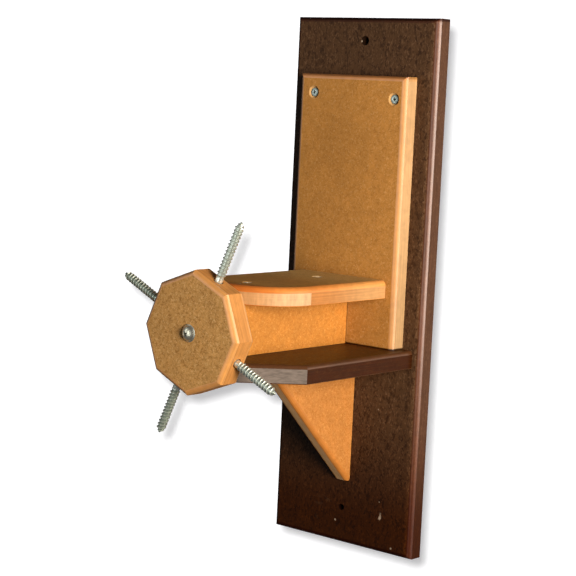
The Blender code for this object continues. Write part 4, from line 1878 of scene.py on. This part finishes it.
@dataclass
class CornBolt:
    """A lag-ended bolt that stands on one flat of the wheel."""

    node: str
    turn: float
    proud: float
    smooth: float
    roll: float = 0.0
    # painted shade: a level over the whole bolt, and a deeper one in the thread roots
    base_shade: float = 0.0
    root_shade: float = 1.0
    length: float = 88.9 * MM
    crest: float = 4.75 * MM
    shank: float = 3.95 * MM
    root: float = 3.6 * MM
    tip: float = 1.2 * MM
    nub: float = 1.5 * MM
    point: float = 4.6 * MM
    point_power: float = 0.7
    point_steps: int = 12
    sides: int = 48
    bore_sides: int = 32
    lip: float = 0.8 * MM
    thread_lead: float = 1.2 * MM
    thread: ThreadSize = ThreadSize(pitch=3.8 * MM, root_width=1.9 * MM, crest_width=0.4 * MM,
                                    run_in=4.0 * MM, run_out=1.4 * MM, steps=36)
    flats: float = WHEEL_FLATS

    def place(self, axle: Vector) -> Matrix:
        """Return local to frame, with the bolt along local +Z.

        Args:
            axle (Vector): the wheel's middle.

        Returns:
            Matrix: the placement.
        """
        root = self.flats / 2 + self.proud - self.length
        return (Matrix.Translation(axle) @ Matrix.Rotation(-self.turn, 4, "Y")
                @ Matrix.Translation((root, 0, 0)) @ Matrix.Rotation(pi / 2, 4, "Y"))

    def bore(self, axle: Vector) -> Bore:
        """Return the blind hole in the wheel.

        Args:
            axle (Vector): the wheel's middle.

        Returns:
            Bore: the hole.
        """
        radius = self.crest + SEAT_GAP
        low = -BORE_BOTTOM_GAP
        mouth = self.length - self.proud + OVERRUN
        return Bore(((0, low), (radius, low), (radius, mouth), (0, mouth)), self.place(axle),
                    self.bore_sides)

    def core(self, height: float) -> float:
        """Return the thread's root radius at a height."""
        left = min(1.0, max(0.0, (self.length - self.nub - height) / self.point))
        return self.tip + (self.root - self.tip) * left ** self.point_power

    def profile(self, start: float) -> list[Point]:
        """Outline the shank, the core and the blunt tip.

        Args:
            start (float): where the thread starts.

        Returns:
            list[Point]: radii and heights, from the foot to the tip.
        """
        lip = self.lip
        body = [(0, 0), (self.shank - lip, 0), (self.shank, lip), (self.shank, start - lip),
                (self.root, start + lip)]
        blunt = 0.5 * self.tip
        run = self.point + self.nub - blunt
        taper = [self.length - blunt - run * (1 - k / self.point_steps)
                 for k in range(self.point_steps + 1)]
        point = [(self.core(height), height) for height in taper]
        return body + point + [(self.tip - blunt, self.length), (0, self.length)]

    def build(self, shop: Workshop, axle: Vector) -> bpy.types.Object:
        """Build the bolt.

        Args:
            shop (Workshop): where materials are made.
            axle (Vector): the wheel's middle.

        Returns:
            bpy.types.Object: the piece.
        """
        start = self.length - self.proud + self.smooth
        bm = turned(self.profile(start), self.sides)
        thread = Thread(self.thread, start=start - self.thread_lead, end=self.length - self.nub,
                        height=self.crest - self.root, core=self.core)
        bm = join(bm, thread.ridge())
        bm.transform(Matrix.Rotation(self.roll, 4, "Z"))
        place = self.place(axle)
        item = settle(self.node, bm, place, shop.metal(ZINC), Body.SPINNER, [self.node])
        back = place.inverted()
        stamp_shade(item, lambda p: self.depth(back @ p, start))
        return item

    def depth(self, point: Vector, start: float) -> float:
        """Return the painted shade at a local point, by how deep it lies in the thread.

        Args:
            point (Vector): in the bolt's own axes.
            start (float): where the thread starts.

        Returns:
            float: the base shade on the crest and the shank, and the root shade at the root.
        """
        if point.z < start:
            return self.base_shade
        rise = hypot(point.x, point.y) - self.core(point.z)
        low = 1.0 - min(1.0, max(0.0, rise / (self.crest - self.root)))
        return self.base_shade + (self.root_shade - self.base_shade) * low


@dataclass
class Spinner:
    """The wheel with its four corn bolts."""

    layout: Layout
    flats: float = WHEEL_FLATS
    turn: float = radians(20.7)
    sides: int = 8

    def bolts(self) -> list[CornBolt]:
        """List the bolts.

        Returns:
            list[CornBolt]: each with its own height and thread start.
        """
        first = self.turn + 2 * pi / self.sides
        # each row: node, proud and smooth in millimetres, roll, then the painted shade over the
        # whole bolt and in its thread roots
        rows = (("corn_bolt_upper_right", 65.3, 5.0, 0.4, 0.08, 0.6),
                ("corn_bolt_upper_left", 57.0, 1.0, 1.9, 0.3, 1.0),
                ("corn_bolt_lower_left", 60.4, 8.5, 2.6, 0.15, 0.9),
                ("corn_bolt_lower_right", 54.8, 4.0, 0.9, 0.0, 0.75))
        return [CornBolt(node, first + k * pi / 2, proud * MM, smooth * MM, roll, base_shade, root_shade)
                for k, (node, proud, smooth, roll, base_shade, root_shade) in enumerate(rows)]

    def wheel(self) -> Board:
        """Return the octagonal wheel.

        Returns:
            Board: rounded over on both faces.
        """
        corner = self.flats / 2 / cos(pi / self.sides)
        turns = [2 * pi * (k + 0.5) / self.sides for k in range(self.sides)]
        outline = [(corner * cos(t), corner * sin(t)) for t in turns]
        axle = self.layout.axle
        place = (Matrix.Translation(axle) @ Matrix.Rotation(-self.turn, 4, "Y")
                 @ Facing.FRONT.turn())
        bores = [bolt.bore(axle) for bolt in self.bolts()] + [Axle(self.layout).bore()]
        thick = self.layout.wheel.high.y - self.layout.wheel.low.y
        return Board("wheel", outline, place, WHEEL, Slot.WHEEL, Body.SPINNER, thick, -thick / 2,
                     top_round=ROUTED, low_round=ROUTED, bores=bores)

    def build(self, shop: Workshop) -> None:
        """Build the wheel and its bolts.

        Args:
            shop (Workshop): where materials are made.
        """
        self.wheel().build(shop)
        for bolt in self.bolts():
            bolt.build(shop, self.layout.axle)


# Camera, light and backdrop


class Reach(Enum):
    """What a soft box lights, by the visibility flag that is switched off."""

    ALL = ""
    NO_GLOSS = "visible_glossy"
    NO_DIFFUSE = "visible_diffuse"


@dataclass(frozen=True)
class SoftBox:
    """A soft box, placed by angles in degrees round the feeder's middle."""

    name: str
    azimuth: float
    height: float
    distance: float
    size: tuple[float, float]
    power: float
    colour: Colour
    reach: Reach = Reach.ALL


CARD: Colour = (0.96, 1.0, 0.97)
SOFT_BOXES = (
    SoftBox("key", 65, 6, 2.4, (0.8, 1.2), 104, (1.0, 0.90, 0.76), Reach.NO_GLOSS),
    SoftBox("sheen", 106, 6, 2.2, (2.5, 1.6), 98, (1.0, 0.91, 0.80), Reach.NO_DIFFUSE),
    SoftBox("front_fill", 2, 4, 2.6, (1.2, 1.2), 1.0, (0.94, 1.0, 1.10)),
    SoftBox("left_card", -38, 16, 2.2, (0.9, 2.2), 10.5, CARD, Reach.NO_DIFFUSE),
    SoftBox("right_card", 10, 0, 2.2, (1.4, 2.2), 17, CARD, Reach.NO_DIFFUSE),
    SoftBox("back_fill", 232, -4, 2.6, (1.4, 1.4), 40, (1.0, 0.98, 0.95), Reach.NO_GLOSS))


@dataclass
class Studio:
    """The photograph's camera and a plain soft light."""

    place: tuple[float, float, float] = (1.1387, -1.4658, 0.2055)
    azimuth: float = radians(40.3805)
    pitch: float = radians(-6.5967)
    roll: float = radians(2.7014)
    focal: float = 1711.61
    frame_px: float = 576.0
    sensor: float = 36.0
    near: float = 0.05
    far: float = 50.0
    middle: tuple[float, float, float] = (0.0, -0.13, 0.0)
    ambient: Colour = (0.02, 0.02, 0.022)
    mirrored: Colour = (0.12, 0.12, 0.12)
    sheet: Colour = (0.8, 0.8, 0.8)
    sheet_glow: tuple[float, float, float, float] = (0.92, 0.98, 1.10, 1.0)
    sheet_glow_strength: float = 0.31
    backdrop_distance: float = 5.2
    backdrop_size: float = 2.6
    backdrop_lamp_offset: tuple[float, float] = (-0.0100, 0.0130)
    backdrop_lamp_radius: float = 0.010
    backdrop_lamp_power: float = 900.0
    backdrop_lamp_spread: float = radians(32)

    def axes(self) -> tuple[Vector, Vector, Vector]:
        """Return the camera's right, up and forward directions.

        Returns:
            tuple[Vector, Vector, Vector]: unit vectors in the frame.
        """
        a, e, r = self.azimuth, self.pitch, self.roll
        forward = Vector((-sin(a) * cos(e), cos(a) * cos(e), sin(e)))
        right = Vector((cos(a), sin(a), 0))
        up = right.cross(forward)
        return (right * cos(r) + up * sin(r), up * cos(r) - right * sin(r), forward)

    def turn(self) -> Matrix:
        """Return the turn from the camera's own axes to the frame's."""
        right, up, forward = self.axes()
        return Matrix((right, up, -forward)).transposed().to_4x4()

    def camera(self) -> None:
        """Add the solved camera."""
        data = bpy.data.cameras.new("photo_camera")
        data.sensor_width = self.sensor
        data.lens = self.focal / self.frame_px * self.sensor
        data.clip_start = self.near
        data.clip_end = self.far
        item = bpy.data.objects.new("photo_camera", data)
        item.matrix_world = Matrix.Translation(self.place) @ self.turn()
        bpy.context.scene.collection.objects.link(item)
        bpy.context.scene.camera = item

    def area(self, box: SoftBox) -> None:
        """Add a soft box that looks at the feeder.

        Args:
            box (SoftBox): azimuth 0 is in front and 90 at the right.
        """
        data = bpy.data.lights.new(box.name, "AREA")
        data.shape = "RECTANGLE"
        data.size, data.size_y = box.size
        data.energy = box.power
        data.color = box.colour
        a, e = radians(box.azimuth), radians(box.height)
        way = Vector((sin(a) * cos(e), -cos(a) * cos(e), sin(e)))
        item = bpy.data.objects.new(box.name, data)
        item.location = Vector(self.middle) + way * box.distance
        item.rotation_mode = "QUATERNION"
        item.rotation_quaternion = (-way).to_track_quat("-Z", "Y")
        bpy.context.scene.collection.objects.link(item)
        if box.reach is not Reach.ALL:
            setattr(item, box.reach.value, False)

    def ambience(self) -> None:
        """Add a dim world that looks white to the camera."""
        world = bpy.data.worlds.new("studio")
        bpy.context.scene.world = world
        world.use_nodes = True
        g = Graph(world.node_tree)
        world.node_tree.nodes.clear()
        path = g.add("ShaderNodeLightPath")
        sky = g.add("ShaderNodeBackground")
        sky.inputs["Strength"].default_value = 1.0
        tone = g.mix(path.outputs["Is Glossy Ray"], self.ambient, self.mirrored)
        tone = g.mix(path.outputs["Is Camera Ray"], tone, WHITE)
        g.feed(sky.inputs["Color"], tone)
        sink = g.add("ShaderNodeOutputWorld")
        g.feed(sink.inputs["Surface"], sky.outputs[0])

    def sheet_finish(self) -> bpy.types.Material:
        """Make a white that glows for the camera and is black to every other ray.

        Returns:
            bpy.types.Material: the material.
        """
        material = bpy.data.materials.new("white_sheet")
        material.use_nodes = True
        g = Graph(material.node_tree)
        shader = material.node_tree.nodes["Principled BSDF"]
        path = g.add("ShaderNodeLightPath").outputs["Is Camera Ray"]
        shader.inputs["Roughness"].default_value = 1.0
        shader.inputs["Specular IOR Level"].default_value = 0.0
        g.feed(shader.inputs["Base Color"], g.mix(path, BLACK, self.sheet))
        shader.inputs["Emission Color"].default_value = self.sheet_glow
        g.feed(shader.inputs["Emission Strength"],
               g.math("MULTIPLY", path, self.sheet_glow_strength))
        return material

    def backdrop(self) -> bpy.types.Object:
        """Add a white sheet behind the feeder.

        Returns:
            bpy.types.Object: the sheet.
        """
        forward = self.axes()[2]
        bm = bmesh.new()
        bmesh.ops.create_grid(bm, x_segments=1, y_segments=1, size=self.backdrop_size / 2)
        centre = Vector(self.place) + forward * self.backdrop_distance
        bm.transform(Matrix.Translation(centre) @ self.turn())
        sheet = mesh_object("backdrop", bm)
        sheet.data.materials.append(self.sheet_finish())
        return sheet

    def backdrop_lamp(self, sheet: bpy.types.Object) -> None:
        """Light the sheet alone, so that it keeps the feeder's soft shadow.

        Args:
            sheet (bpy.types.Object): what the lamp lights.
        """
        right, up, _ = self.axes()
        lamp = bpy.data.lights.new("backdrop_lamp", "SPOT")
        lamp.energy = self.backdrop_lamp_power
        lamp.shadow_soft_size = self.backdrop_lamp_radius
        lamp.spot_size = self.backdrop_lamp_spread
        item = bpy.data.objects.new("backdrop_lamp", lamp)
        aside, above = self.backdrop_lamp_offset
        place = Vector(self.place) + right * aside + up * above
        item.matrix_world = Matrix.Translation(place) @ self.turn()
        item.visible_glossy = False
        bpy.context.scene.collection.objects.link(item)
        lit = bpy.data.collections.new("lit_by_backdrop_lamp")
        lit.objects.link(sheet)
        item.light_linking.receiver_collection = lit

    def settings(self) -> None:
        """Keep colours as they are written."""
        scene = bpy.context.scene
        scene.view_settings.view_transform = "Standard"
        scene.view_settings.look = "None"

    def build(self) -> None:
        """Set up the camera, the light and the view."""
        self.camera()
        for box in SOFT_BOXES:
            self.area(box)
        self.ambience()
        self.backdrop_lamp(self.backdrop())
        self.settings()


def main() -> None:
    """Build the whole scene."""
    logging.basicConfig(level=logging.INFO, format="%(name)s: %(message)s")
    shop = Workshop()
    layout = Layout()
    screws = ScrewSet(layout).all()
    BoardSet(layout, screws).build(shop)
    for screw in screws.values():
        screw.build(shop)
    Axle(layout).build(shop)
    Spinner(layout).build(shop)
    Studio().build()


if __name__ == "__main__":
    main()
